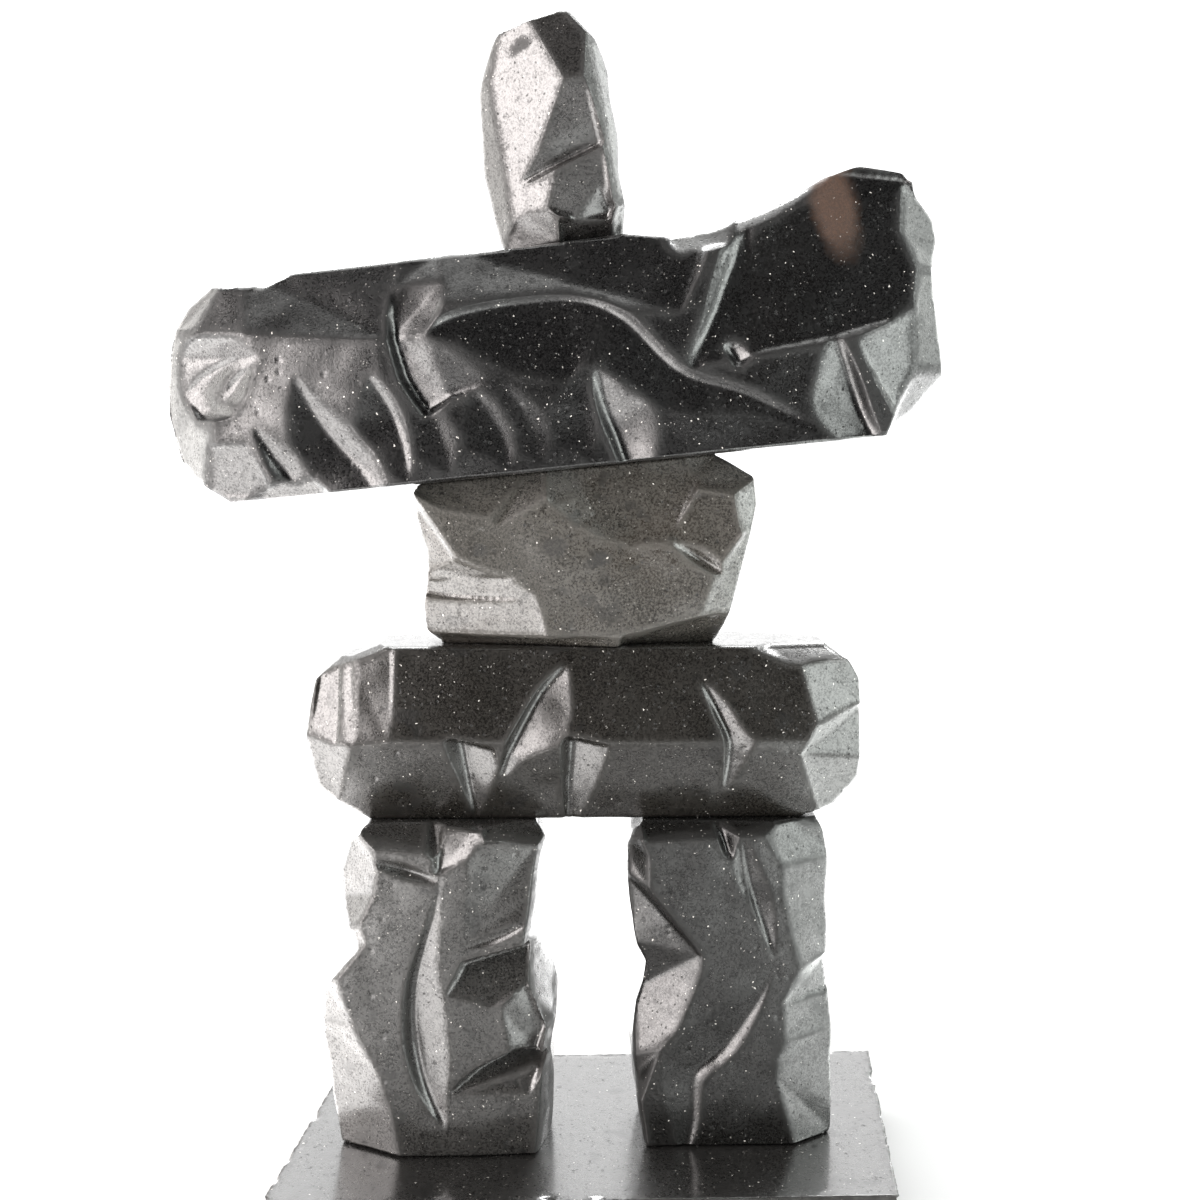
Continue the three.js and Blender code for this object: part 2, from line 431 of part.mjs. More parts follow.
function armStone() {
  const arms = new Stone(ARMS, [
    [6, 0], [0.8, 12], [-1.2, 20], [-1.9, 28], [-2.3, 42], [-1.9, 55], [-0.3, 72], [3, 88], [6.4, 95],
    [13.5, 92.5], [17.5, 97], HEAD_SEAT_PERCENT.from, HEAD_SEAT_PERCENT.to, [66.5, 95], [71, 96.5], [75, 100], [83, 109],
    [86, 114.5], [91, 117.5], [96.5, 112.5], [101.2, 93], [101.4, 84], [99.8, 70], [100.4, 22], [95, 7], [91, 0],
  ]);
  // the left third turns away, and the upper face leans back
  arms.chop([[28, 60, 0], [28, 0, 0], [11, 60, 6]]);
  arms.chop([[30, 72, 0], [96, 57, 0], [86, 114, 8]]);
  // dark upper face, leaning back above a long ridge
  arms.facet([2, 70, 12], [7.5, 75, 7], [11, 71.5], [11, 101, 17], [0, 101, 24]);
  arms.facet([11, 71.5], [21, 70.5], [30, 63, 0], [31, 101, 11], [11, 101, 17]);
  arms.facet([-2, 70, 21.5], [5, 75, 11], [9, 99, 17], [0, 99, 27]);
  arms.facet([37, 74, 0], [56, 76, 0], [66, 62, 0], [72, 102, 10], [37, 102, 11]);
  arms.chop([[0, 40, 23], [0, 70, 23], [3, 55, 15]]);
  // shell-shaped left end
  arms.facet([7.5, 75.5, 8], [11, 71, 6], [12.8, 61, 5.4], [-3, 45, 26], [-2, 66, 24]);
  arms.facet([12.8, 61, 5.4], [9.5, 46], [4.3, 37], [-3, 36, 22], [-3, 47, 25.5]);
  arms.groove([[5.5, 69, 11.6], [8, 67.3, 9.2], [11.8, 64.5, 5.7]], { depth: 1.2, left: 1, right: 2.4 });
  arms.groove(
    [[1, 49, 20.7], [4, 56, 16], [8, 60.3, 10.8], [12, 61.2, 6.3]],
    { depth: 1.8, left: 0.9, right: 3.4, peak: 0.45 },
  );
  arms.groove(
    [[5.4, 41, 10.4], [7.4, 47, 10], [9.4, 53, 8.8], [11.5, 58, 6.8]], { depth: 2, left: 3, right: 2 },
  );
  // lower left corner
  arms.facet([4.3, 37], [4.5, 24], [2.5, 12, 12], [-3, 14, 23], [-3, 36, 22]);
  arms.facet([4.5, 24], [10, 24], [12, 2, 7.6], [7, -2, 11.5], [0, 6, 17], [2.5, 12, 12]);
  arms.facet([11, 2, 8], [15, 9], [17, 8.5], [19.5, -2, 8], [8, -3, 14]);
  // slanting flutes along the lower left
  arms.groove([[17, -6], [15, 6], [13, 17], [11, 31]], { depth: 2.2, left: 3, right: 4.6, peak: 0.4 });
  arms.groove(
    [[26.5, -6], [24, 9], [21, 22], [18.8, 36], [17.2, 51]],
    { depth: 3.2, left: 30, right: 4.6, peak: 0.42 },
  );
  arms.groove([[30.2, 0], [30, 18], [28.8, 34], [26.8, 48]], { depth: 2.2, left: 36, right: 1.4, peak: 0.6 });
  // saddle beside the leaf, with the dark crease on its left
  arms.facet([30.4, 84, 6], [33, 88, 6.2], [37.2, 86, 4.4], [37.2, 102, 11], [30.4, 102, 11]);
  arms.facet([30, 63, 3.6], [34, 63, 0.3], [36.8, 78], [37.2, 86, 4.4], [33, 88, 6.2], [30.4, 84, 6]);
  arms.facet([30, 63, 3.6], [34, 63, 0.3], [35, 46, 0.9], [36, 35.5, 1.8], [33.2, 30, 3.6], [31, 45, 4.4]);
  arms.facet([34, 63, 0.3], [38, 50, 0], [41.5, 41, 0], [36, 35.5, 1.8], [35, 46, 0.9]);
  // the great leaf: a hollow under one long curved step
  arms.groove(
    [[34, 63], [38, 70], [45, 73], [53, 72], [59, 62], [65.5, 37], [74, 24], [83, 4]],
    { depth: 2.8, left: 0.7, right: 16, peak: 0.42 },
  );
  arms.groove([[51.4, 77, 0], [51.2, 86, 4], [50.8, 97, 9]], { depth: 1.2, left: 1.4, right: 1.6 });
  // soft flutes under the leaf
  for (const [foot, head, size] of [[35.2, 32.8, 0.8], [42.6, 39.2, 1], [46.8, 43.2, 0.6], [53.2, 53, 0.7]]) {
    arms.groove([[foot, 3], [foot - 0.5, 18], [head, 38]], { depth: size, left: 9, right: 4, peak: 0.55 });
  }
  arms.groove(
    [[58.3, -12], [56.8, 10], [55.4, 26], [54.8, 41]], { depth: 3.8, left: 1.5, right: 11, peak: 0.42 },
  );
  // the right lobe leans back, behind a slanting stripe
  arms.facet(
    [67, 39, 0.3], [70, 50, 1.6], [73, 65, 3.6], [76, 98, 9], [86, 118, 12.5], [97, 110, 11], [97, 52, 3.4],
    [86, 45, 1.2],
  );
  arms.facet([66.3, 41, 0], [69.5, 62, 0.3], [72.2, 58, 2.4], [67.6, 38, 0.9]);
  arms.facet([69.5, 62, 0.3], [72.3, 84, 4.4], [75.2, 78, 6.2], [72.2, 58, 2.4]);
  arms.facet([72.3, 84, 4.4], [74.3, 97, 8.2], [76.4, 97, 9.8], [75.2, 78, 6.2]);
  arms.facet([66.3, 93, 10], [67.5, 87.5, 6.5], [73, 90, 6.6], [78, 107, 12], [66, 100, 14]);
  arms.facet([75, 95, 9], [80, 101, 10], [86, 111, 11.5], [88, 121, 17], [75, 107, 17]);
  arms.facet([71.7, 45, 3.2], [75, 45.6, 0.4], [75, 41, 0.2], [72.8, 37, 2.2]);
  // bright flute and the triangle at the lower right
  arms.groove([[90, -5], [88.2, 12], [86.8, 30], [85.2, 47]], { depth: 4, left: 12, right: 1.1, peak: 0.45 });
  arms.facet([88, 42.5, 0], [97, 53, 5], [96, 27, 5.4], [93, 6, 3.6]);
  // right end
  arms.facet([95.5, 87, 8], [96.6, 108, 11], [104, 98, 24], [104, 84, 23]);
  arms.facet([95.5, 88, 8], [104, 88, 23], [104, 68, 21], [97, 70, 5.2]);
  arms.facet([97, 72, 5.4], [104, 72, 21], [104, 24, 21], [95.8, 26, 5.4], [96.8, 52, 4.6]);
  arms.facet([95.8, 27, 5.4], [104, 26, 21], [104, 6, 22], [91, -3, 8], [92.8, 8, 3.4]);
  arms.roughBack({
    inset: 9, fall: 12, firstTurn: 0.35,
    hollow: { place: [70, 66], size: [36, 14], depth: 2, turn: -8 },
  });
  return arms.mesh("arm_stone", stoneMaterial(0x33302f));
}

function headStone() {
  const head = new Stone(HEAD, [
    [9, 0], [6.5, 5], [4, 20], [2, 36], [3.5, 52], [6, 73], [11, 81], [18, 90.5], [23, 95], [50, 97.5], [64, 99],
    [78, 98], [87, 90], [93, 80], [95, 74], [94, 60], [96, 45], [94, 30], [94, 12], [91, 0],
  ]);
  // broad pale cheek on the left, and the narrow facet outside it
  head.chop([[62, 68, 0], [62, 20, 0], [15, 50, 16.5]]);
  head.chop([[15, 60, 16.5], [16.5, 20, 16], [2, 50, 26]]);
  head.chop([[20, 92, 16], [13, 76, 17.5], [6, 84, 24]]);
  // dark brow, leaning back
  head.chop([[62, 68, 0], [75, 68, 0], [56, 98, 6]]);
  // middle face, falling back to the notch
  head.facet([62, 68, 0], [76, 68, 0], [82, 41, 7.4], [41, 41, 7.4]);
  head.facet([41, 41, 7.4], [82, 41, 7.4], [82, 39.5, 8], [50, 32.5, 9.5], [27, 28, 12.5]);
  // lower face
  head.facet([50, 32, 4.3], [82, 40, 2.9], [82, 19, 6.6], [82, 8, 8.5], [60, 8, 8.5], [41, 15, 7.3]);
  head.facet([66, 12, 7.8], [77, 20, 6.6], [84, 11, 11], [80, 8, 11], [60, 8, 8.5]);
  // undercut and the rounded lower left corner
  head.facet([49, 8.5, 8.3], [82, 9, 8.3], [82, -2, 16], [49, -2, 15]);
  head.facet([24, 15, 13.2], [41, 15, 7.3], [48, 10, 5.5], [49.5, 5, 5.8], [49, -2, 10], [20, -2, 18]);
  head.facet([24, 15, 13.2], [20, -2, 18], [4, -2, 24], [20, 9, 15.5]);
  // two long facets on the right
  head.chop([[76.5, 70, 0], [78, 30, 0], [85.5, 50, 5]]);
  head.chop([[84, 70, 4.5], [87, 30, 5.6], [96, 50, 18]]);
  head.chop([[80, 92, 7], [88, 88, 12], [78, 99, 17]]);
  head.facet([80, 2, 6], [88.5, 12, 8.5], [96, 12, 19], [94, -3, 24], [79, -3, 13]);
  head.roughBack({
    inset: 9, fall: 9, firstTurn: 0.4,
    hollow: { place: [54, 66], size: [10, 15], depth: 1.2, turn: 10 },
  });
  return head.mesh("head_stone", stoneMaterial(0x5e5a57));
}

// A group that stands on a seat edge of the stone below, tilted with it
function onSeat(carrier, seat, shift, y) {
  const place = ([x, z]) => new THREE.Vector2((x / 100 - 0.5) * carrier.length, (z / 100) * carrier.height);
  const from = place(seat.from);
  const to = place(seat.to);
  const along = to.clone().sub(from).normalize();
  const foot = from.clone().add(to).multiplyScalar(0.5).addScaledVector(along, shift);
  const group = new THREE.Group();
  group.position.set(foot.x - along.y * SEAT_GAP, y, foot.y + along.x * SEAT_GAP);
  group.rotation.y = -Math.atan2(along.y, along.x);
  return group;
}

// The stack: each level stands on the one below with the seat gap between them.
const inukshuk = new THREE.Group();
inukshuk.add(slab());

const legs = [[leftLeg(), LEFT_LEG], [rightLeg(), RIGHT_LEG]];
for (const [leg, size] of legs) {
  leg.position.set(size.x, size.y, SLAB_THICKNESS + SEAT_GAP);
  inukshuk.add(leg);
}

const hips = new THREE.Group();
hips.position.set(HIP.x, HIP.y, SLAB_THICKNESS + LEG_HEIGHT + 2 * SEAT_GAP);
hips.add(hipStone());
inukshuk.add(hips);

const torso = new THREE.Group();
torso.position.set(TORSO.x - HIP.x, TORSO.y - HIP.y, HIP.height + SEAT_GAP);
torso.add(torsoStone());
hips.add(torso);

const arms = onSeat(TORSO, ARM_SEAT_PERCENT, ARMS.shift, ARMS.y - TORSO.y);
arms.add(armStone());
torso.add(arms);

const head = onSeat(ARMS, HEAD_SEAT_PERCENT, 0, HEAD.y - ARMS.y);
head.add(headStone());
arms.add(head);

export default inukshuk;
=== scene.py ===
"""A carved stone inukshuk: seven dark, satin-polished stones, faceted by hand and stacked on a slab.

Every stone starts as a block with its own outline. Facets, grooves and hollows are cut into its
front and back, its ridges are worn soft, and a finer waviness is laid over the whole surface.
"""

import json
import math
from itertools import combinations

import bpy
import numpy as np
from mathutils import Matrix, Vector
from mathutils.geometry import delaunay_2d_cdt

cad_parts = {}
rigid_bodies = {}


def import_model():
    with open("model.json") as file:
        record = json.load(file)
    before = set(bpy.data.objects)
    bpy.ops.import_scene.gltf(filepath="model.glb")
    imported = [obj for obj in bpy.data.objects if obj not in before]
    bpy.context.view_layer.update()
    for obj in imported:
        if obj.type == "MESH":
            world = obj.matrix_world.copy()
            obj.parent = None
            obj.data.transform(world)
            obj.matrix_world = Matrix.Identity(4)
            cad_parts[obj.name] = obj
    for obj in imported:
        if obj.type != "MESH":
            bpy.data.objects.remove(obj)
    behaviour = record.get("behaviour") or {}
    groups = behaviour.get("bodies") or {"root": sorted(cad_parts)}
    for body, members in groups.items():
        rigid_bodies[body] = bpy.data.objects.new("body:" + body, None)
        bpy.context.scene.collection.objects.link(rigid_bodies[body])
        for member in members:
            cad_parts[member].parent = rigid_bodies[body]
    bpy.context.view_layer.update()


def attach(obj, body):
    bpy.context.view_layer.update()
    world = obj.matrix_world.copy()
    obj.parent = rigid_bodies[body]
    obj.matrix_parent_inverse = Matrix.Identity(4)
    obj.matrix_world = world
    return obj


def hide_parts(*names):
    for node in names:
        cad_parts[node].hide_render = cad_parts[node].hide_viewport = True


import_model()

bl_info = {
    "name": "Carved stone inukshuk",
    "version": (1, 0, 0),
    "blender": (4, 5, 0),
    "location": "View3D > Sidebar > Inukshuk",
    "description": "Builds a figure of seven faceted stones stacked on a slab",
    "category": "Object",
}

MM = 0.001
SLAB_RIM = 3 * MM  # how far from its rim the slab's top may be chipped
SEAT_GAP = 0.3 * MM

# The edge of a stone that carries the next one, in percent of that stone's length and height
ARM_SEAT_PERCENT = ([1.5, 85.5], [87, 101.5])
HEAD_SEAT_PERCENT = ([45, 97.3], [60.5, 99])

# Carving depths and groove widths are in fortieths of the stone's thickness.
CARVING_PARTS = 40
FACET_MARGIN = 0.35  # how far a facet runs past its corners, in the same parts
GROOVE_END = 0.06  # share of its full size that a groove keeps at its two ends
GROOVE_FLARE = 1.7  # how far a groove's walls run on past the face
STEPS_PER_POINT = 14  # how finely a groove's curve is followed

# The mesh of a carved face
BACK_CELL = 1.4 * MM  # spacing of the plainer back
WALL_STEPS = 14
THINNEST = 1 * MM  # stone left where cuts from the front and back come close
RIM_MOVES = 3  # how often the rim is moved closer to the outline
RIDGE_SPREAD = 2.2  # how much wider a ridge is looked at than it is softened
WORN_HIGHLIT_RIDGE = 0.12  # a ridge that stands out this far is fully worn and gets the full painted highlight, in parts

# How many clouds, grains or specks of the stone's pattern come to a metre
STAINS, CLOUDS, PATCHES, MOTTLING, GRAINS = 24, 45, 105, 420, 1700
SOFT_SPECKS, PALE_FLECKS, DARK_SPECKS, FLECKS = 300, 480, 900, 1200
SPECK_WOBBLE = 1.1 * MM  # how far the pattern of specks is moved to and fro
SPECK_WAVES = 900  # how often in a metre
MARK_WOBBLE = 4 * MM  # how far the border of a mark is moved to and fro
MARK_WAVES = 240

# The soft windows stand round the sculpture, and the camera looks down at it.
WINDOW_DISTANCE = 0.9
WINDOW_MIDDLE = 0.46
WINDOW_HEIGHT = 0.88
CAMERA_PLACE = (-12.15 * MM, -410.3 * MM, 214.4 * MM)
CAMERA_HEADING = math.radians(1.8)  # turned to the right
LENS, SENSOR_WIDTH = 45, 36
PHOTO_WIDTH = 1200  # pixels
HORIZON_RISE = 170  # pixels from the photo's middle up to the level of the camera


class Stone:
    """One block and how deep its front and back are cut away, on a grid of cells.

    Places are [x, z] or [x, z, depth]: x in percent of the length from the left end, z in percent
    of the height, and depth behind the face being carved.
    """

    def __init__(self, size, outline, cell):
        self.length, self.thickness, self.height = size
        self.part = self.thickness / CARVING_PARTS
        self.cell = cell
        self.outline = np.array([self.spot(place) for place in outline])
        (left, low), (right, high) = self.outline.min(0), self.outline.max(0)
        edge = 4 * cell
        across = np.arange(left - edge, right + edge + cell, cell)
        up = np.arange(low - edge, high + edge + cell, cell)
        self.x, self.z = np.meshgrid(across, up)
        self.depth = {"front": np.zeros_like(self.x), "back": np.zeros_like(self.x)}
        self.planes = {"front": [], "back": []}

    def spot(self, place):
        """The place's x and z in metres."""
        return (place[0] / 100 - 0.5) * self.length, place[1] / 100 * self.height

    def sunk(self, place, face="front"):
        """The place's depth in metres. Without one it lies on the face as the planes left it."""
        if len(place) > 2:
            return place[2] * self.part
        x, z = self.spot(place)
        return max([0.0] + [a * x + b * z + c for a, b, c in self.planes[face]])

    def window(self, low, high):
        """The slice of the grid between two corners."""
        origin = np.array([self.x[0, 0], self.z[0, 0]])
        first = np.maximum(np.floor((np.array(low) - origin) / self.cell), 0).astype(int)
        last = np.maximum(np.ceil((np.array(high) - origin) / self.cell) + 1, 0).astype(int)
        return slice(first[1], last[1]), slice(first[0], last[0])

    def cut(self, floor, window=(slice(None), slice(None)), face="front"):
        self.depth[face][window] = np.maximum(self.depth[face][window], floor)

    def facet(self, *corners):
        """A flat facet inside its corners, each cut to its own depth."""
        points = np.array([(*self.spot(corner), self.sunk(corner)) for corner in corners])
        spokes = points - points.mean(0)
        points += spokes / np.linalg.norm(spokes, axis=1, keepdims=True) * FACET_MARGIN * self.part
        window = self.window(points.min(0)[:2], points.max(0)[:2])
        x, z = self.x[window], self.z[window]
        floor = np.zeros_like(x)
        for a, b, c in combinations(points, 3):
            ab, ac = b - a, c - a
            area = ab[0] * ac[1] - ab[1] * ac[0]
            if abs(area) < 1e-9:
                continue
            u = ((x - a[0]) * ac[1] - (z - a[1]) * ac[0]) / area
            v = (ab[0] * (z - a[1]) - ab[1] * (x - a[0])) / area
            inside = (u >= 0) & (v >= 0) & (u + v <= 1)
            floor = np.where(inside, np.maximum(floor, a[2] + u * ab[2] + v * ac[2]), floor)
        self.cut(floor, window)

    def strip(self, inner, outer):
        """Facets side by side along a flank, between an inner and an outer row of corners."""
        for i in range(len(inner) - 1):
            self.facet(inner[i], inner[i + 1], outer[i + 1], outer[i])

    def chop(self, places, face="front"):
        """A facet without borders: all that stands outside the plane through three places goes."""
        spots = [self.spot(place) for place in places]
        depths = [self.sunk(place, face) for place in places]
        a, b, c = np.linalg.solve([(x, z, 1) for x, z in spots], depths)
        self.planes[face].append((a, b, c))
        self.cut(a * self.x + b * self.z + c, face=face)

    def groove(self, route, depth, left, right, peak=0.5):
        """A V-shaped cut that swells and dies out along a curve. Its left and right walls are named
        as seen when looking along the curve; peak is where it is largest."""
        places = np.array([(*self.spot(place), self.sunk(place)) for place in route])
        along = np.linspace(0, 1, STEPS_PER_POINT * len(route))
        line = curve_through(places, along)
        tangent = np.gradient(line[:, :2], axis=0)
        tangent /= np.linalg.norm(tangent, axis=1, keepdims=True)
        reach = max(left, right) * GROOVE_FLARE * self.part
        window = self.window(line.min(0)[:2] - reach, line.max(0)[:2] + reach)
        x, z = self.x[window], self.z[window]
        nearest = np.zeros(x.shape, int)
        shortest = np.full(x.shape, np.inf)
        for i, (line_x, line_z, _) in enumerate(line):
            distance = (x - line_x) ** 2 + (z - line_z) ** 2
            closer = distance < shortest
            nearest[closer] = i
            shortest[closer] = distance[closer]
        off_x, off_z = x - line[nearest, 0], z - line[nearest, 1]
        onward = off_x * tangent[nearest, 0] + off_z * tangent[nearest, 1]
        sideways = off_z * tangent[nearest, 0] - off_x * tangent[nearest, 1]
        swell = np.sin(math.pi * along ** (math.log(0.5) / math.log(peak)))
        swell = np.maximum(swell, GROOVE_END)
        slope = np.where(sideways > 0, depth / left, depth / right)
        floor = line[nearest, 2] + swell[nearest] * depth * self.part - np.abs(sideways) * slope
        past_end = (nearest == 0) & (onward < 0) | (nearest == len(line) - 1) & (onward > 0)
        self.cut(np.where(past_end, 0, floor), window)

    def scoop(self, place, half_size, depth, turn=0, face="front"):
        """A smooth hollow with an oval rim, turned by an angle in degrees."""
        x, z = self.spot(place)
        cos, sin = math.cos(math.radians(turn)), math.sin(math.radians(turn))
        u = ((self.x - x) * cos + (self.z - z) * sin) / (half_size[0] * self.part)
        v = ((self.z - z) * cos - (self.x - x) * sin) / (half_size[1] * self.part)
        inside = np.maximum(1 - 0.75 * (u * u + v * v), 0)
        floor = self.sunk(place, face) + (2 * np.sqrt(inside) - 1) * depth * self.part
        self.cut(np.where(inside > 0, floor, 0), face=face)

    def rough_back(self, inset, fall, first_turn, hollow):
        """The plainer hidden side: steep bevels all round, a ring of broad facets inside them, no
        two alike, and one shallow hollow."""
        rings = [(9, inset, fall), (5, 2.4 * inset, 0.45 * fall)]
        for bevels, ring_inset, ring_fall in rings:
            for i in range(bevels):
                turn = first_turn + 2 * math.pi * i / bevels
                across = np.array([math.cos(turn), math.sin(turn)])
                reach = (self.outline @ across).max()
                uneven = 1 + 0.3 * math.sin(2.4 * i + first_turn)
                hinge = reach - ring_inset * uneven * self.part
                side = np.array([-across[1], across[0]]) * 0.01

                def edge(distance, sideways, sunk):
                    x, z = across * distance + side * sideways
                    return 50 + x / self.length * 100, z / self.height * 100, sunk

                self.chop([edge(hinge, 0, 0), edge(hinge, 1, 0), edge(reach, 0, ring_fall * uneven)], "back")
        self.scoop(hollow[0], hollow[1], hollow[2], hollow[3], "back")

    def edge_distance(self):
        """How far each grid point lies outside the outline; inside it is negative."""
        ends = np.roll(self.outline, -1, axis=0)
        closest = np.full(self.x.shape, np.inf)
        for (x0, z0), (x1, z1) in zip(self.outline, ends):
            run_x, run_z = x1 - x0, z1 - z0
            share = ((self.x - x0) * run_x + (self.z - z0) * run_z) / (run_x**2 + run_z**2)
            share = np.clip(share, 0, 1)
            off_x, off_z = self.x - x0 - share * run_x, self.z - z0 - share * run_z
            closest = np.minimum(closest, np.hypot(off_x, off_z))
        return np.where(enclosed(self.x, self.z, self.outline, ends), -closest, closest)

    def sample(self, field, x, z):
        """A grid field's values between its points."""
        column = (x - self.x[0, 0]) / self.cell
        row = (z - self.z[0, 0]) / self.cell
        j = np.clip(np.floor(column).astype(int), 0, field.shape[1] - 2)
        i = np.clip(np.floor(row).astype(int), 0, field.shape[0] - 2)
        u, v = column - j, row - i
        low = field[i, j] * (1 - u) + field[i, j + 1] * u
        high = field[i + 1, j] * (1 - u) + field[i + 1, j + 1] * u
        return low * (1 - v) + high * v

    def worn_faces(self, distance, softness, rounding):
        """The depths of front and back with their ridges and rims worn, and the front's ridges."""
        radius = softness / self.cell
        front, back = (softened(self.depth[face], radius) for face in ("front", "back"))
        ridge = softened(front, RIDGE_SPREAD * radius) - front
        inward = np.clip(rounding + distance, 0, rounding)
        rounded = rounding - np.sqrt(rounding**2 - inward**2)
        front, back = front + rounded, back + rounded
        crowded = np.maximum(front + back - (self.thickness - THINNEST), 0)
        return front - crowded / 2, back - crowded / 2, ridge

    def cells_inside(self, distance):
        """The whole grid cells inside the outline: x and z of their corners, the corners of each
        cell, and the edges along their border."""
        inside = distance < 0
        rows, columns = np.nonzero(inside[:-1, :-1] & inside[1:, :-1] & inside[:-1, 1:] & inside[1:, 1:])
        width = self.x.shape[1]
        corner = rows * width + columns
        quads = np.stack([corner, corner + 1, corner + width + 1, corner + width], axis=1)
        used, quads = np.unique(quads, return_inverse=True)
        quads = quads.reshape(-1, 4)
        edges = np.concatenate([quads[:, [k, (k + 1) % 4]] for k in range(4)])
        codes = edges[:, 0] * len(used) + edges[:, 1]
        mirrored = edges[:, 1] * len(used) + edges[:, 0]
        return self.x.ravel()[used], self.z.ravel()[used], quads, edges[~np.isin(codes, mirrored)]

    def draw_to_outline(self, distance, x, z, rim):
        """Moves the rim's points, which lie a little inside, out to the outline."""
        slope_z, slope_x = np.gradient(distance, self.cell)
        for _ in range(RIM_MOVES):
            off = self.sample(distance, x[rim], z[rim])
            run_x = self.sample(slope_x, x[rim], z[rim])
            run_z = self.sample(slope_z, x[rim], z[rim])
            steep = np.maximum(run_x**2 + run_z**2, 0.25)
            x[rim] -= off * run_x / steep
            z[rim] -= off * run_z / steep

    def back_points(self, distance):
        """Points in a wide triangular pattern inside the outline."""
        across = np.arange(self.x.min(), self.x.max(), BACK_CELL)
        up = np.arange(self.z.min(), self.z.max(), BACK_CELL * math.sqrt(0.75))
        x, z = np.meshgrid(across, up)
        x[1::2] += BACK_CELL / 2
        x, z = x.ravel(), z.ravel()
        keep = self.sample(distance, x, z) < -0.7 * BACK_CELL
        return x[keep], z[keep]

    def mesh(self, name, softness, rounding):
        """The carved stone as a closed mesh: a fine front, walls all round and a coarser back."""
        distance = softened(self.edge_distance(), 1.5)
        front, back, ridge = self.worn_faces(distance, softness, rounding)
        x, z, quads, border = self.cells_inside(distance)
        rim = np.unique(border)
        self.draw_to_outline(distance, x, z, rim)
        half = self.thickness / 2
        front_y = -half + self.sample(front, x, z)
        points = [np.stack([x, front_y, z], axis=1)]
        faces = list(quads)

        # The walls: rings between the front rim and the back rim
        rim_back_y = half - self.sample(back, x[rim], z[rim])
        slot = np.full(len(x), -1)
        slot[rim] = np.arange(len(rim))
        a, b = slot[border[:, 0]], slot[border[:, 1]]
        ring = rim
        total = len(x)
        for step in range(1, WALL_STEPS + 1):
            y = front_y[rim] + (rim_back_y - front_y[rim]) * (step / WALL_STEPS)
            points.append(np.stack([x[rim], y, z[rim]], axis=1))
            next_ring = total + np.arange(len(rim))
            faces += list(np.stack([ring[b], ring[a], next_ring[a], next_ring[b]], axis=1))
            ring = next_ring
            total += len(rim)

        # The back: the last ring filled with wider spaced points
        fill_x, fill_z = self.back_points(distance)
        points.append(np.stack([fill_x, half - self.sample(back, fill_x, fill_z), fill_z], axis=1))
        spots = np.stack([np.append(x[rim], fill_x), np.append(z[rim], fill_z)], axis=1) / MM
        origins, triangles = filled(spots, a, b)
        on_rim = origins < len(rim)
        index = np.where(on_rim, ring[np.minimum(origins, len(rim) - 1)], total + origins - len(rim))
        faces += list(index[triangles[:, ::-1]])

        points = np.concatenate(points)
        # the underside closes most of the gap below it
        points[points[:, 2] < SEAT_GAP, 2] -= 0.8 * SEAT_GAP
        mesh = bpy.data.meshes.new(name)
        mesh.from_pydata(points.tolist(), [], [[int(i) for i in face] for face in faces])
        # worn ridges: rougher and less polished, and also drawn lighter in colour, a painted highlight where
        # light would catch them
        worn_highlit_edge = np.zeros(len(points), np.float32)
        worn_highlit_edge[:len(x)] = np.clip(self.sample(ridge, x, z) / (WORN_HIGHLIT_RIDGE * self.part), 0, 1)
        mesh.attributes.new("worn_highlit_edge", "FLOAT", "POINT").data.foreach_set("value", worn_highlit_edge)
        mesh.shade_smooth()
        mesh.validate()
        return mesh


def filled(spots, a, b):
    """Triangles that fill the closed outline whose edges run from spots a to spots b, through all
    the spots inside it. Returns which spot each new point is, and the triangles."""
    edges = [(int(start), int(end)) for start, end in zip(a, b)]
    flat = [Vector(spot) for spot in spots]
    _, _, triangles, origins, _, _ = delaunay_2d_cdt(flat, edges, [], 0, 1e-6, True)
    origins = np.array([origin[0] for origin in origins])
    triangles = np.array(triangles)
    flat = np.array(flat)
    middle = flat[origins[triangles]].mean(axis=1)
    return origins, triangles[enclosed(*middle.T, flat[a], flat[b])]


def slab_block(size, lean, cell):
    """The slab's surface as a fine grid, with the weights of its broken sides and of its rims."""
    counts = np.array([round(extent / cell) for extent in size])
    quads = []
    for axis in range(3):
        across, up = (axis + 1) % 3, (axis + 2) % 3
        a, b = (grid.ravel() for grid in np.meshgrid(np.arange(counts[across]), np.arange(counts[up])))
        for end in (0, counts[axis]):
            steps = [(0, 0), (1, 0), (1, 1), (0, 1)]
            if end == 0:
                steps.reverse()
            corners = np.zeros((a.size, 4, 3), int)
            corners[:, :, axis] = end
            for number, (step_a, step_b) in enumerate(steps):
                corners[:, number, across] = a + step_a
                corners[:, number, up] = b + step_b
            quads.append(corners)
    places, index = np.unique(np.concatenate(quads).reshape(-1, 3), axis=0, return_inverse=True)
    shares = places / counts
    points = (shares - (0.5, 0.5, 0)) * size
    points[:, 0] += (shares[:, 1] - 0.5) * lean
    mesh = bpy.data.meshes.new("slab")
    mesh.from_pydata(points.tolist(), [], index.reshape(-1, 4).tolist())
    inward = (np.minimum(shares, 1 - shares) * size)[:, :2].min(axis=1)
    downward = size[2] - points[:, 2]
    broken = (inward < cell / 2) & (downward > cell / 2)
    weights = {
        "broken": broken.astype(np.float32),
        "rim": np.clip(1 - np.maximum(inward, downward) / SLAB_RIM, 0, 1),
        # worn rims: rougher and less polished, and also drawn lighter in colour, a painted highlight
        "worn_highlit_edge": np.clip(1 - np.maximum(inward, downward) / (1.5 * cell), 0, 1),
    }
    for name, weight in weights.items():
        mesh.attributes.new(name, "FLOAT", "POINT").data.foreach_set("value", weight.astype(np.float32))
    mesh.shade_smooth()
    return mesh


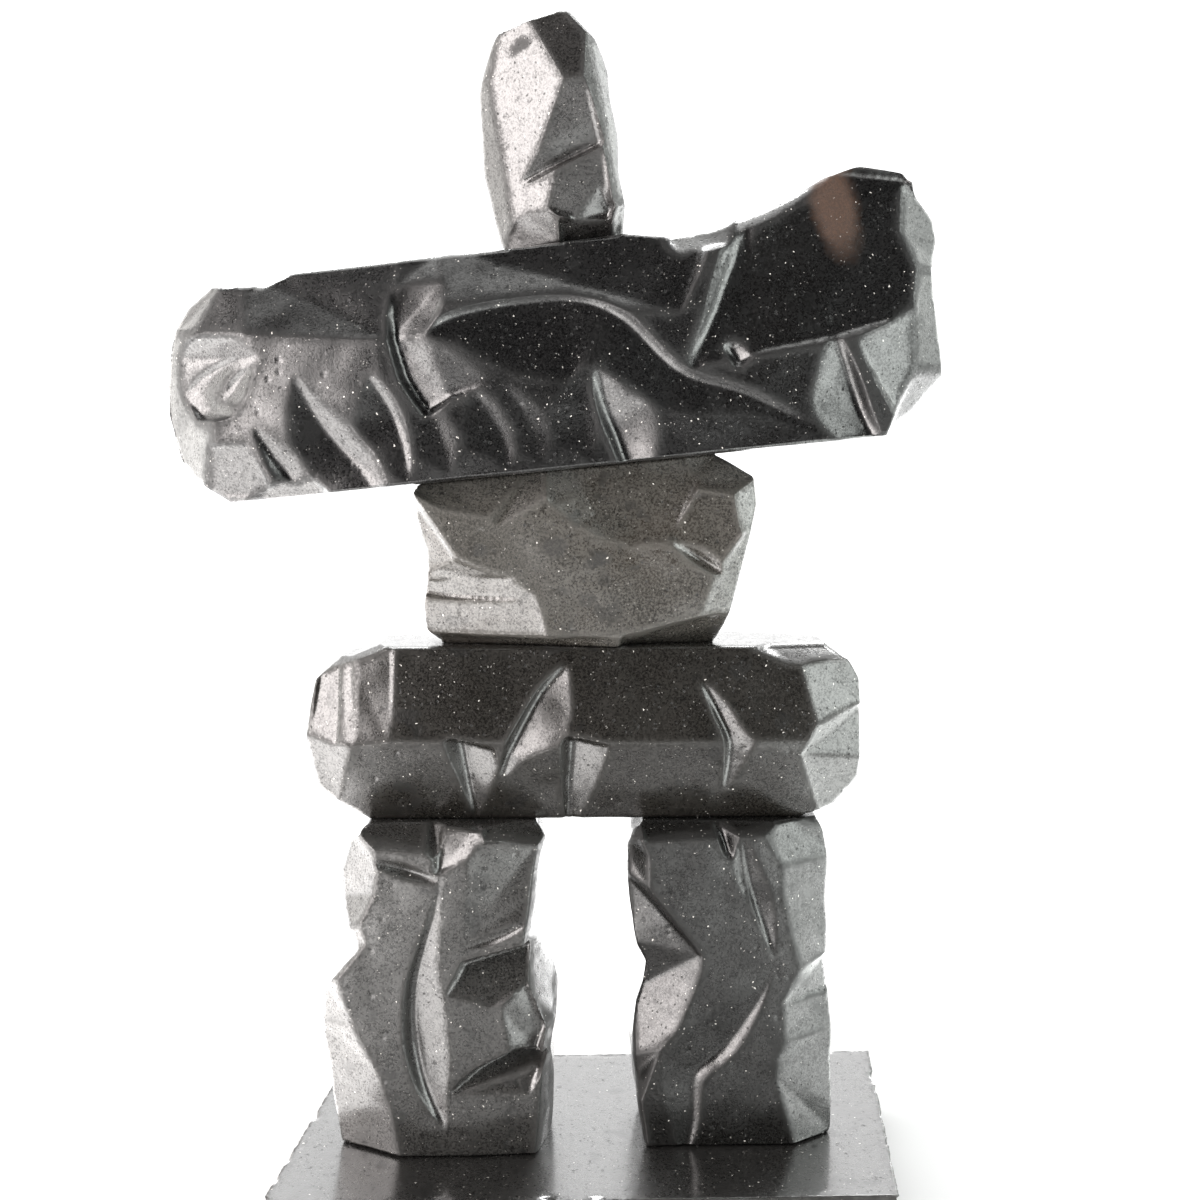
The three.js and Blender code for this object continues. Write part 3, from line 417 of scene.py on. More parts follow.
def enclosed(x, z, starts, ends):
    """Whether places lie inside a closed outline of straight edges."""
    inside = np.zeros(np.shape(x), bool)
    for (x0, z0), (x1, z1) in zip(starts, ends):
        if z0 != z1:
            crosses = (z >= min(z0, z1)) & (z < max(z0, z1))
            inside ^= crosses & (x < x0 + (z - z0) * (x1 - x0) / (z1 - z0))
    return inside


def curve_through(points, along):
    """Places on the smooth curve through some points, at shares of the way from 0 to 1."""
    last = len(points) - 1
    position = np.clip(along * last, 0, last - 1e-9)
    i = position.astype(int)
    t = (position - i)[:, None]
    before, start, end, after = (points[np.clip(i + k, 0, last)] for k in (-1, 0, 1, 2))
    leave, arrive = (end - before) / 2, (after - start) / 2
    return (
        (2 * start - 2 * end + leave + arrive) * t**3
        + (-3 * start + 3 * end - 2 * leave - arrive) * t**2
        + leave * t
        + start
    )


def softened(field, radius):
    """A grid field blurred over a radius in cells."""
    reach = max(1, math.ceil(3 * radius))
    weights = np.exp(-0.5 * (np.arange(-reach, reach + 1) / radius) ** 2)
    weights /= weights.sum()
    for axis in (0, 1):
        pad = [(reach, reach) if k == axis else (0, 0) for k in (0, 1)]
        wide = np.pad(field, pad, mode="edge")
        size = field.shape[axis]
        field = sum(w * np.take(wide, range(k, k + size), axis) for k, w in enumerate(weights))
    return field


def carve_left_leg(size, cell):
    leg = Stone(size, [
        [7, 0], [4, 15], [3, 26], [1, 36], [1, 43], [2, 49], [6, 55], [17, 64], [10, 75], [9, 86], [13, 95],
        [20, 100], [91, 100], [95, 96], [93, 84], [90, 67], [94, 59], [98, 52], [100, 46], [99, 39],
        [96.5, 30], [98, 19], [97, 0],
    ], cell)
    # dark chamfer under the hip stone
    leg.facet([18, 99, 1], [25, 96, 0], [46, 94.5, 0], [48, 103, 16], [16, 103, 16])
    leg.facet([46, 94.5, 0], [50, 92, 1], [52, 103, 12], [46, 103, 16])
    leg.facet([70, 98, 0], [78, 97.5, 0], [90, 94.5, 0], [99, 96, 9], [97, 103, 14], [69, 103, 12])
    # pale upper flank on the left, down to the narrow waist, and the long lower flank
    leg.strip(
        inner=[[24, 97, 0], [26, 88, 0], [25, 82, 0], [18.5, 73, 0], [21, 67, 0], [9, 56, 0]],
        outer=[[6, 103, 13], [5, 86, 13], [5, 77, 13], [10, 69, 6], [12, 63, 5], [-1, 56, 6]],
    )
    leg.strip(
        inner=[[9, 56, 0], [15, 41, 0], [25, 26, 0], [30, 15, 0], [33.5, -1, 0]],
        outer=[[-1, 56, 6], [-3, 40, 9], [0, 22, 11], [1, 12, 11], [2, -1, 11.5]],
    )
    # pale right flank
    leg.strip(
        inner=[[90, 95, 0], [87, 80, 0], [85, 62, 0], [86, 53, 0], [93, 39, 0.5], [94, 31, 2]],
        outer=[[101, 100, 22], [99, 80, 24], [99, 60, 26], [104, 49, 30], [104, 37, 24], [102, 29, 22]],
    )
    leg.facet([94, 31, 2], [90, -1, 0], [102, -1, 30], [102, 20, 27], [102, 29, 20])
    # sloping crease below the left shoulder
    leg.groove([[20, 92.5], [30, 90], [40, 87.5], [51, 85]], depth=2.2, left=2.6, right=1.4, peak=0.6)
    # long swelling groove down the middle, its right wall broad and pale
    leg.groove(
        [[51.5, 87], [48.5, 76], [44, 65], [40.5, 55], [39.3, 45], [39.8, 35], [42.5, 25], [46.5, 17],
         [52, 9]],
        depth=3.9, left=9, right=2.2, peak=0.6,
    )
    # short flutes at the top
    leg.groove([[54, 104, 12], [51, 97], [49.5, 86]], depth=3, left=2, right=3.5, peak=0.35)
    leg.facet([50.5, 88, 1.5], [67, 95, 0], [70, 104, 2.4], [52, 104, 5.4])
    # upright hollow ending in a curved lip
    leg.facet([63, 96, 0], [61.5, 80, 0], [61, 67, 0], [85, 72, 0.8], [90, 80, 2.2], [92, 97, 3.5])
    leg.groove([[59, 65], [68, 66], [77, 68.5, 0.2], [86, 72, 0.8]], depth=1, left=2.6, right=0.6, peak=0.55)
    # two notches cut in from the right
    leg.facet([54, 50, 0], [61, 59.5, 4], [72, 61.5, 5.5], [70, 46.5, 0])
    leg.facet([70, 46.5, 0], [72, 61.5, 5.5], [87, 64.5, 6.5], [87, 53, 3])
    leg.facet([76, 46, 0], [86, 53, 3], [93, 39, 4.5], [90, 31.5, 4], [80, 30, 0])
    leg.facet([54.5, 19.5, 0], [86, 19, 0], [91, 27.5, 2.5], [72, 24, 1.5])
    leg.facet([54.5, 19.8, 0], [72, 24, 1.5], [91, 27.5, 2.5], [94, 31.5, 8], [80, 31.5, 7], [66, 26.5, 4])
    leg.chop([[97, 0, 6], [100, 50, 8], [99, 0, 34]])
    leg.rough_back(inset=11, fall=11, first_turn=0.3, hollow=([60, 66], [13, 20], 1.6, 20))
    return leg


def carve_right_leg(size, cell):
    leg = Stone(size, [
        [8, 0], [5, 11], [3, 26], [3, 34], [5, 43], [8, 49], [9, 56], [5, 61], [3, 67], [1, 76], [0, 86],
        [0, 93], [3, 98], [8, 100], [91, 100], [94, 96], [96, 88], [95, 76], [96, 62], [95, 54], [97.5, 43],
        [99, 33], [98, 25], [99.5, 12], [99, 0],
    ], cell)
    # top edge under the hip stone, and the corner on its right
    leg.facet([10, 96, 0], [40, 97, 0], [40, 103, 13], [4, 103, 14])
    leg.facet([40, 97, 0], [64, 98, 0], [72, 103, 12], [40, 103, 13])
    leg.facet([77, 102, 9], [93, 97, 8], [100, 103, 18], [76, 104, 14])
    # left shoulder
    leg.facet([5, 96, 2], [11, 101, 4], [4, 104, 12], [-4, 95, 10])
    leg.facet([5, 96, 2], [10, 90, 0], [10, 81, 0], [-4, 86, 8], [-4, 95, 10])
    # darker facet running in to the knee
    leg.facet([10, 81, 0], [31, 63.5, 0], [33, 60, 1.5], [3, 62, 7], [-4, 86, 8])
    # pale hollow under it
    leg.facet([33, 60, 1.5], [34, 55, 0], [30, 47, 0], [2, 45, 11], [4, 62, 7])
    leg.facet([30, 47, 0], [25, 39, 0], [15, 31, 0], [-1, 27, 6.5], [2, 45, 11])
    leg.facet([15, 31, 0], [7, 27.5, 0], [6.5, 15, 0], [-1, 15, 8], [-1, 27, 6])
    leg.facet([6.5, 15, 0], [10, -1, 0], [3, -1, 8], [-1, 15, 8])
    # broad right flank, scalloped
    leg.facet([64, 97.5, 0], [71, 103, 6], [99, 103, 12], [98, 88, 11], [72, 88, 0])
    leg.facet([72, 88, 0], [98, 90, 11], [98, 70, 10], [76, 67, 0], [72, 80, 0])
    leg.facet([76, 67, 0], [98, 70, 10], [98, 56, 9], [81, 56, 0])
    leg.facet([81, 56, 0], [98, 57, 11], [98, 46, 12], [73, 45, 0])
    leg.facet([73, 46, 0], [99, 48, 11], [101, 32, 9], [74, 33, 0])
    leg.facet([74, 33, 0], [101, 34, 9], [102, 14, 9], [70, 21, 0], [70, 28, 0])
    leg.facet([70, 21, 0], [102, 16, 9], [102, -1, 9.5], [80, -1, 0])
    # leaf-shaped cuts below the hip stone
    leg.facet([41, 101, 7], [51, 97, 0], [49, 90.5, 0], [46, 92, 2.5])
    leg.groove([[68.5, 59], [62.5, 71], [56.5, 83], [52.5, 97]], depth=2.2, left=1, right=4.6, peak=0.55)
    leg.groove([[57, 76], [53.5, 86], [51, 97]], depth=1.2, left=2.5, right=1)
    # stepped line running down to the foot
    leg.groove(
        [[27, -4], [31, 8], [32, 22], [42, 28.5], [49, 33.5], [56, 40.5], [62, 47.5], [67, 55]],
        depth=2.2, left=11, right=2.8, peak=0.45,
    )
    leg.chop([[4, 0, 8], [1, 50, 10], [2, 0, 34]])
    leg.rough_back(inset=10, fall=12, first_turn=0.7, hollow=([44, 30], [14, 17], 1.6, -15))
    return leg


def carve_hip(size, cell):
    hip = Stone(size, [
        [11, 0], [2.2, 19], [0.3, 48], [1.8, 81], [5.5, 91], [8, 93], [13.5, 100], [93, 100], [97, 91],
        [99, 80], [99.3, 66], [99.3, 22], [95, 6], [89, 0],
    ], cell)
    # the face leans back above and below a ridge at mid-height
    hip.chop([[20, 47, 0], [60, 48, 0], [50, 100, 7]])
    hip.chop([[20, 47, 0], [60, 48, 0], [50, 0, 7]])
    hip.chop([[56, 48, 0], [88, 42, 1], [80, 0, 11]])
    # left end: two turned facets with upright flutes above
    hip.facet([10, -2, 7], [9.5, 43, 1], [7, 50, 1.5], [-2, 50, 12], [-2, 15, 12], [5, -3, 11])
    hip.facet([16, 48, 0], [8, 49, 1.5], [8, 93, 9], [16, 101, 8])
    hip.facet([8, 50, 1.5], [7.5, 93, 9], [2, 95, 15], [-2, 50, 12])
    for x, lean, depth in [[6.6, 0.6, 0.8], [4.6, 1.4, 1.2], [2.4, 1.2, 1]]:
        sunk = 1.1 * (8 - x)
        route = [[x - lean, 48, 1.5 + sunk], [x, 70, 4.5 + sunk], [x + lean, 96, 9 + sunk]]
        hip.groove(route, depth=depth, left=2.2, right=1.8)
    # top left corner, and the top edge
    hip.facet([8, 92, 5], [14, 100.5, 6], [14, 104, 14], [2, 96, 18])
    hip.chop([[8, 93, 10], [14, 100, 7], [6, 93, 34]])
    # right end: greenish turned facets and the dark corner above
    hip.facet([86, 91.5, 6], [97, 91, 8], [98, 104, 18], [80, 104, 13], [80, 100, 8])
    hip.facet([88, 91, 5.8], [91, 58, 2], [101, 64, 11], [101, 91, 13])
    hip.facet([91, 58, 2], [88, 40, 2.5], [101, 34, 11], [101, 66, 13])
    hip.facet([88, 40, 2.5], [93, -2, 12], [101, -2, 18], [101, 34, 11])
    # long cut with a pale leaf on its right
    hip.groove(
        [[35, 27], [36.5, 42], [39.3, 60], [42.5, 77], [46.5, 91]], depth=3.4, left=1.3, right=8,
        peak=0.45,
    )
    # chevron cut
    hip.groove(
        [[74.5, 18], [74.9, 36], [74.8, 50], [72.6, 66], [70, 82]], depth=2.7, left=1, right=5.6,
        peak=0.48,
    )
    # upright steps on the lower half
    hip.facet([28, 48, 6], [33.5, 43, 3], [35.3, 14, 5.2], [35.4, -2, 8.4], [30.5, -2, 12], [29.2, 26, 8.4])
    hip.facet([28, 48, 6], [29.2, 26, 8.4], [30.5, -2, 12], [28, -2, 7.2], [26, 28, 2.7], [25.5, 49, 0.6])
    hip.facet([47.6, 49, 4.6], [53.4, 46, 1], [53.7, 20, 4.2], [54, -2, 8.6], [46.8, -2, 13], [46.8, 24, 8])
    hip.facet([47.6, 49, 4.6], [46.8, 24, 8], [46.8, -2, 13], [44.6, -2, 7.4], [44.8, 28, 2.9], [46, 50, 0.6])
    hip.facet([53.8, 22, 3.8], [58, 25, 3.2], [58, 4, 6.2], [53.8, 4, 8])
    hip.rough_back(inset=9, fall=11, first_turn=0.5, hollow=([34, 56], [32, 12], 1.8, 6))
    return hip


def carve_torso(size, cell):
    torso = Stone(size, [
        [7, 0], [3, 7], [2.3, 20], [3.4, 36], [3, 50], [1.3, 60], [0, 68], [0, 81],
        *ARM_SEAT_PERCENT,
        [98.5, 90], [99.8, 75], [90, 10], [88, 0],
    ], cell)
    # dark hollow on the left shoulder
    torso.facet([1, 83, 3], [10, 73, 0], [22, 69, 0], [28, 77, 2], [35.5, 94, 7], [2, 94, 8])
    torso.facet([22, 69, 0], [24.5, 64.5, 0], [38, 79, 0], [40, 88, 2], [35.5, 94, 7], [28, 77, 2])
    # pale left side above the waist, with its bright edge
    torso.facet([-2, 84, 4], [1.5, 72, 1], [12, 47, 1], [3, 40, 9], [-3, 40, 15], [-4, 84, 12])
    # broad light facet at the lower left
    torso.facet(
        [12, 46, 1.4], [31, 32.5, 0], [34.5, 26, 0.3], [37, 14, 0], [37, -2, 1.4], [-3, -2, 12.7],
        [-3, 42, 8.7],
    )
    torso.groove([[2, 28, 10], [12, 26, 7], [30, 25.5, 1.8]], depth=0.8, left=1.8, right=0.5, peak=0.4)
    torso.groove([[8, 31.5, 7.2], [20, 31, 3.6], [29, 30, 1]], depth=0.5, left=1.4, right=0.5)
    # large bowl on the right, and the crease that ends it
    torso.facet([37, 93, 4.6], [40, 75, 0], [47, 79, 3.8], [43, 98, 8.5])
    torso.facet([40, 75, 0], [47, 64, 0], [53, 71, 3.6], [47, 79, 3.8])
    torso.facet([47, 64, 0], [55, 57, 0], [62, 53.5, 0], [64, 62.5, 3], [53, 71, 3.6])
    torso.facet([62, 53.5, 0], [73, 55, 0], [74, 61, 2], [64, 62.5, 3])
    torso.facet(
        [47, 79, 3.8], [53, 71, 3.6], [64, 62.5, 3], [74, 61, 2], [79, 84, 3.8], [86, 104, 9],
        [43, 98, 8.5],
    )
    torso.facet([74, 61, 2], [79, 84, 3.8], [92, 81, 2], [94, 64, 0.8], [90, 44, 0], [73, 55, 0])
    torso.groove([[73, 57], [80, 48], [89, 37]], depth=3.2, left=4.5, right=1.2, peak=0.6)
    # right shoulder and side
    torso.facet([70, 96, 5], [76, 85, 4], [92, 81, 2], [101, 90, 9], [90, 106, 14])
    torso.facet([92, 82, 2], [94, 66, 2], [96, 48, 0], [103, 74, 11], [101, 92, 10])
    torso.facet([96, 50, 0], [86, 36, 0], [82, 14, 0], [92, 8, 3.4], [101, 74, 4.4])
    # undercut at the lower right, and the worn lower edge
    torso.facet([60, 5.5, 0], [79, 6, 0], [91, 18, 2], [94, -3, 16], [60, -3, 11])
    torso.facet([3, 4, 12], [34, 2.5, 1], [60, 4, 0], [60, -2, 4], [3, -2, 15])
    torso.rough_back(inset=9, fall=10, first_turn=0.2, hollow=([62, 60], [19, 11], 1.6, -12))
    return torso


def carve_arms(size, cell):
    arms = Stone(size, [
        [6, 0], [0.8, 12], [-1.2, 20], [-1.9, 28], [-2.3, 42], [-1.9, 55], [-0.3, 72], [3, 88], [6.4, 95],
        [13.5, 92.5], [17.5, 97],
        *HEAD_SEAT_PERCENT,
        [66.5, 95], [71, 96.5], [75, 100], [83, 109], [86, 114.5], [91, 117.5], [96.5, 112.5],
        [101.2, 93], [101.4, 84], [99.8, 70], [100.4, 22], [95, 7], [91, 0],
    ], cell)
    # the left third turns away, and the upper face leans back
    arms.chop([[28, 60, 0], [28, 0, 0], [11, 60, 6]])
    arms.chop([[30, 72, 0], [96, 57, 0], [86, 114, 8]])
    # dark upper face, leaning back above a long ridge
    arms.facet([2, 70, 12], [7.5, 75, 7], [11, 71.5], [11, 101, 17], [0, 101, 24])
    arms.facet([11, 71.5], [21, 70.5], [30, 63, 0], [31, 101, 11], [11, 101, 17])
    arms.facet([-2, 70, 21.5], [5, 75, 11], [9, 99, 17], [0, 99, 27])
    arms.facet([37, 74, 0], [56, 76, 0], [66, 62, 0], [72, 102, 10], [37, 102, 11])
    arms.chop([[0, 40, 23], [0, 70, 23], [3, 55, 15]])
    # shell-shaped left end
    arms.facet([7.5, 75.5, 8], [11, 71, 6], [12.8, 61, 5.4], [-3, 45, 26], [-2, 66, 24])
    arms.facet([12.8, 61, 5.4], [9.5, 46], [4.3, 37], [-3, 36, 22], [-3, 47, 25.5])
    arms.groove([[5.5, 69, 11.6], [8, 67.3, 9.2], [11.8, 64.5, 5.7]], depth=1.2, left=1, right=2.4)
    arms.groove(
        [[1, 49, 20.7], [4, 56, 16], [8, 60.3, 10.8], [12, 61.2, 6.3]], depth=1.8, left=0.9, right=3.4,
        peak=0.45,
    )
    arms.groove([[5.4, 41, 10.4], [7.4, 47, 10], [9.4, 53, 8.8], [11.5, 58, 6.8]], depth=2, left=3, right=2)
    # lower left corner
    arms.facet([4.3, 37], [4.5, 24], [2.5, 12, 12], [-3, 14, 23], [-3, 36, 22])
    arms.facet([4.5, 24], [10, 24], [12, 2, 7.6], [7, -2, 11.5], [0, 6, 17], [2.5, 12, 12])
    arms.facet([11, 2, 8], [15, 9], [17, 8.5], [19.5, -2, 8], [8, -3, 14])
    # slanting flutes along the lower left
    arms.groove([[17, -6], [15, 6], [13, 17], [11, 31]], depth=2.2, left=3, right=4.6, peak=0.4)
    arms.groove(
        [[26.5, -6], [24, 9], [21, 22], [18.8, 36], [17.2, 51]], depth=3.2, left=30, right=4.6, peak=0.42,
    )
    arms.groove([[30.2, 0], [30, 18], [28.8, 34], [26.8, 48]], depth=2.2, left=36, right=1.4, peak=0.6)
    # saddle beside the leaf, with the dark crease on its left
    arms.facet([30.4, 84, 6], [33, 88, 6.2], [37.2, 86, 4.4], [37.2, 102, 11], [30.4, 102, 11])
    arms.facet([30, 63, 3.6], [34, 63, 0.3], [36.8, 78], [37.2, 86, 4.4], [33, 88, 6.2], [30.4, 84, 6])
    arms.facet([30, 63, 3.6], [34, 63, 0.3], [35, 46, 0.9], [36, 35.5, 1.8], [33.2, 30, 3.6], [31, 45, 4.4])
    arms.facet([34, 63, 0.3], [38, 50, 0], [41.5, 41, 0], [36, 35.5, 1.8], [35, 46, 0.9])
    # the great leaf: a hollow under one long curved step
    arms.groove(
        [[34, 63], [38, 70], [45, 73], [53, 72], [59, 62], [65.5, 37], [74, 24], [83, 4]],
        depth=2.8, left=0.7, right=16, peak=0.42,
    )
    arms.groove([[51.4, 77, 0], [51.2, 86, 4], [50.8, 97, 9]], depth=1.2, left=1.4, right=1.6)
    # soft flutes under the leaf
    for foot, head, depth in [[35.2, 32.8, 0.8], [42.6, 39.2, 1], [46.8, 43.2, 0.6], [53.2, 53, 0.7]]:
        arms.groove([[foot, 3], [foot - 0.5, 18], [head, 38]], depth=depth, left=9, right=4, peak=0.55)
    arms.groove([[58.3, -12], [56.8, 10], [55.4, 26], [54.8, 41]], depth=3.8, left=1.5, right=11, peak=0.42)
    # the right lobe leans back, behind a slanting stripe
    arms.facet(
        [67, 39, 0.3], [70, 50, 1.6], [73, 65, 3.6], [76, 98, 9], [86, 118, 12.5], [97, 110, 11],
        [97, 52, 3.4], [86, 45, 1.2],
    )
    arms.facet([66.3, 41, 0], [69.5, 62, 0.3], [72.2, 58, 2.4], [67.6, 38, 0.9])
    arms.facet([69.5, 62, 0.3], [72.3, 84, 4.4], [75.2, 78, 6.2], [72.2, 58, 2.4])
    arms.facet([72.3, 84, 4.4], [74.3, 97, 8.2], [76.4, 97, 9.8], [75.2, 78, 6.2])
    arms.facet([66.3, 93, 10], [67.5, 87.5, 6.5], [73, 90, 6.6], [78, 107, 12], [66, 100, 14])
    arms.facet([75, 95, 9], [80, 101, 10], [86, 111, 11.5], [88, 121, 17], [75, 107, 17])
    arms.facet([71.7, 45, 3.2], [75, 45.6, 0.4], [75, 41, 0.2], [72.8, 37, 2.2])
    # bright flute and the triangle at the lower right
    arms.groove([[90, -5], [88.2, 12], [86.8, 30], [85.2, 47]], depth=4, left=12, right=1.1, peak=0.45)
    arms.facet([88, 42.5, 0], [97, 53, 5], [96, 27, 5.4], [93, 6, 3.6])
    # right end
    arms.facet([95.5, 87, 8], [96.6, 108, 11], [104, 98, 24], [104, 84, 23])
    arms.facet([95.5, 88, 8], [104, 88, 23], [104, 68, 21], [97, 70, 5.2])
    arms.facet([97, 72, 5.4], [104, 72, 21], [104, 24, 21], [95.8, 26, 5.4], [96.8, 52, 4.6])
    arms.facet([95.8, 27, 5.4], [104, 26, 21], [104, 6, 22], [91, -3, 8], [92.8, 8, 3.4])
    arms.rough_back(inset=9, fall=12, first_turn=0.35, hollow=([70, 66], [36, 14], 2, -8))
    return arms


def carve_head(size, cell):
    head = Stone(size, [
        [9, 0], [6.5, 5], [4, 20], [2, 36], [3.5, 52], [6, 73], [11, 81], [18, 90.5], [23, 95], [50, 97.5],
        [64, 99], [78, 98], [87, 90], [93, 80], [95, 74], [94, 60], [96, 45], [94, 30], [94, 12], [91, 0],
    ], cell)
    # broad pale cheek on the left, and the narrow facet outside it
    head.chop([[62, 68, 0], [62, 20, 0], [15, 50, 16.5]])
    head.chop([[15, 60, 16.5], [16.5, 20, 16], [2, 50, 26]])
    head.chop([[20, 92, 16], [13, 76, 17.5], [6, 84, 24]])
    # dark brow, leaning back
    head.chop([[62, 68, 0], [75, 68, 0], [56, 98, 6]])
    # middle face, falling back to the notch
    head.facet([62, 68, 0], [76, 68, 0], [82, 41, 7.4], [41, 41, 7.4])
    head.facet([41, 41, 7.4], [82, 41, 7.4], [82, 39.5, 8], [50, 32.5, 9.5], [27, 28, 12.5])
    # lower face
    head.facet([50, 32, 4.3], [82, 40, 2.9], [82, 19, 6.6], [82, 8, 8.5], [60, 8, 8.5], [41, 15, 7.3])
    head.facet([66, 12, 7.8], [77, 20, 6.6], [84, 11, 11], [80, 8, 11], [60, 8, 8.5])
    # undercut and the rounded lower left corner
    head.facet([49, 8.5, 8.3], [82, 9, 8.3], [82, -2, 16], [49, -2, 15])
    head.facet([24, 15, 13.2], [41, 15, 7.3], [48, 10, 5.5], [49.5, 5, 5.8], [49, -2, 10], [20, -2, 18])
    head.facet([24, 15, 13.2], [20, -2, 18], [4, -2, 24], [20, 9, 15.5])
    # two long facets on the right
    head.chop([[76.5, 70, 0], [78, 30, 0], [85.5, 50, 5]])
    head.chop([[84, 70, 4.5], [87, 30, 5.6], [96, 50, 18]])
    head.chop([[80, 92, 7], [88, 88, 12], [78, 99, 17]])
    head.facet([80, 2, 6], [88.5, 12, 8.5], [96, 12, 19], [94, -3, 24], [79, -3, 13])
    head.rough_back(inset=9, fall=9, first_turn=0.4, hollow=([54, 66], [10, 15], 1.2, 10))
    return head


def seat(carrier, edge, shift, y):
    """The pose of a stone that stands on an edge of the stone below, tilted with it."""
    length, _, height = carrier
    start, end = (Vector(((x / 100 - 0.5) * length, 0, z / 100 * height)) for x, z in edge)
    along = (end - start).normalized()
    foot = (start + end) / 2 + along * shift
    lifted = foot + Vector((-along.z, 0, along.x)) * SEAT_GAP
    lifted.y = y
    return Matrix.Translation(lifted) @ Matrix.Rotation(-math.atan2(along.z, along.x), 4, "Y")


class Value:
    """A number that varies over a surface. An expression on it adds the Math nodes it needs."""

    def __init__(self, nodes, socket):
        self.nodes = nodes
        self.socket = socket

    def math(self, operation, *others):
        sockets = {0: self}
        sockets.update(enumerate(others, 1))
        return self.nodes.add("ShaderNodeMath", {"operation": operation}, sockets)[0]

    def __add__(self, other):
        return self.math("ADD", other)

    __radd__ = __add__

    def __mul__(self, other):
        return self.math("MULTIPLY", other)

    __rmul__ = __mul__

    def __sub__(self, other):
        return self.math("SUBTRACT", other)

    def __rsub__(self, other):
        return (self * -1) + other

    def between(self, low, high):
        """0 below the low value, 1 above the high one, and smooth from one to the other."""
        settings = {"interpolation_type": "SMOOTHSTEP"}
        sockets = {"Value": self, "From Min": low, "From Max": high}
        return self.nodes.add("ShaderNodeMapRange", settings, sockets)["Result"]


class Outputs:
    """A node's outputs by name or number, each as a Value."""

    def __init__(self, nodes, node):
        self.nodes = nodes
        self.node = node

    def __getitem__(self, key):
        return Value(self.nodes, self.node.outputs[key])


class Nodes:
    """Adds nodes to one material's or geometry's tree."""

    def __init__(self, tree):
        self.tree = tree

    def add(self, kind, settings=None, sockets=None):
        """One node of a kind: its settings first, then the values or links of its inputs."""
        node = self.tree.nodes.new(kind)
        for name, value in (settings or {}).items():
            setattr(node, name, value)
        for name, value in (sockets or {}).items():
            if isinstance(value, Value):
                self.tree.links.new(value.socket, node.inputs[name])
            else:
                node.inputs[name].default_value = value
        return Outputs(self, node)

    def mix(self, share, first, second):
        """A colour between two colours."""
        settings = {"data_type": "RGBA"}
        return self.add("ShaderNodeMix", settings, {0: share, 6: first, 7: second})[2]

    def moved(self, place, shift):
        return self.add("ShaderNodeVectorMath", {"operation": "ADD"}, {0: place, 1: shift})[0]

    def scaled(self, vector, share):
        return self.add("ShaderNodeVectorMath", {"operation": "SCALE"}, {0: vector, "Scale": share})[0]

    def attribute(self, name):
        """A weight that the mesh carries, read by a material."""
        return self.add("ShaderNodeAttribute", {"attribute_name": name})["Fac"]

    def shaken(self, place, scale, detail, reach):
        """The place moved to and fro, so that what is drawn there has an uneven border."""
        noise = self.add("ShaderNodeTexNoise", None, {"Vector": place, "Scale": scale, "Detail": detail})
        return self.moved(place, self.scaled(noise["Color"], reach))

    def noise(self, place, scale, detail=2.0, roughness=0.5):
        sockets = {"Vector": place, "Scale": scale, "Detail": detail, "Roughness": roughness}
        return self.add("ShaderNodeTexNoise", None, sockets)[0]

    def specks(self, place, scale, size, share):
        """Small round specks in some cells of a regular crowd: 1 inside a speck, 0 outside."""
        cells = self.add("ShaderNodeTexVoronoi", None, {"Vector": place, "Scale": scale})
        chosen = self.add("ShaderNodeSeparateColor", None, {0: cells["Color"]})
        kept = chosen[0].between(1 - share, 1 - share + 0.01)
        return kept * (1 - cells["Distance"].between(size * 0.6, size))

    def mark(self, centre, radii, turn):
        """A patch with an uneven border around one place: 1 inside, 0 outside."""
        place = self.add("ShaderNodeTexCoord")["Object"]
        sockets = {
            "Vector": self.shaken(place, MARK_WAVES, 3.0, MARK_WOBBLE),
            "Location": centre + Vector((1, 1, 1)) * MARK_WOBBLE / 2,
            "Rotation": (0, math.radians(turn), 0),
            "Scale": radii,
        }
        turned = self.add("ShaderNodeMapping", {"vector_type": "TEXTURE"}, sockets)[0]
        distance = self.add("ShaderNodeVectorMath", {"operation": "LENGTH"}, {0: turned})["Value"]
        return 1 - distance.between(0.5, 1.1)


def colour(red, green, blue):
    return red, green, blue, 1.0


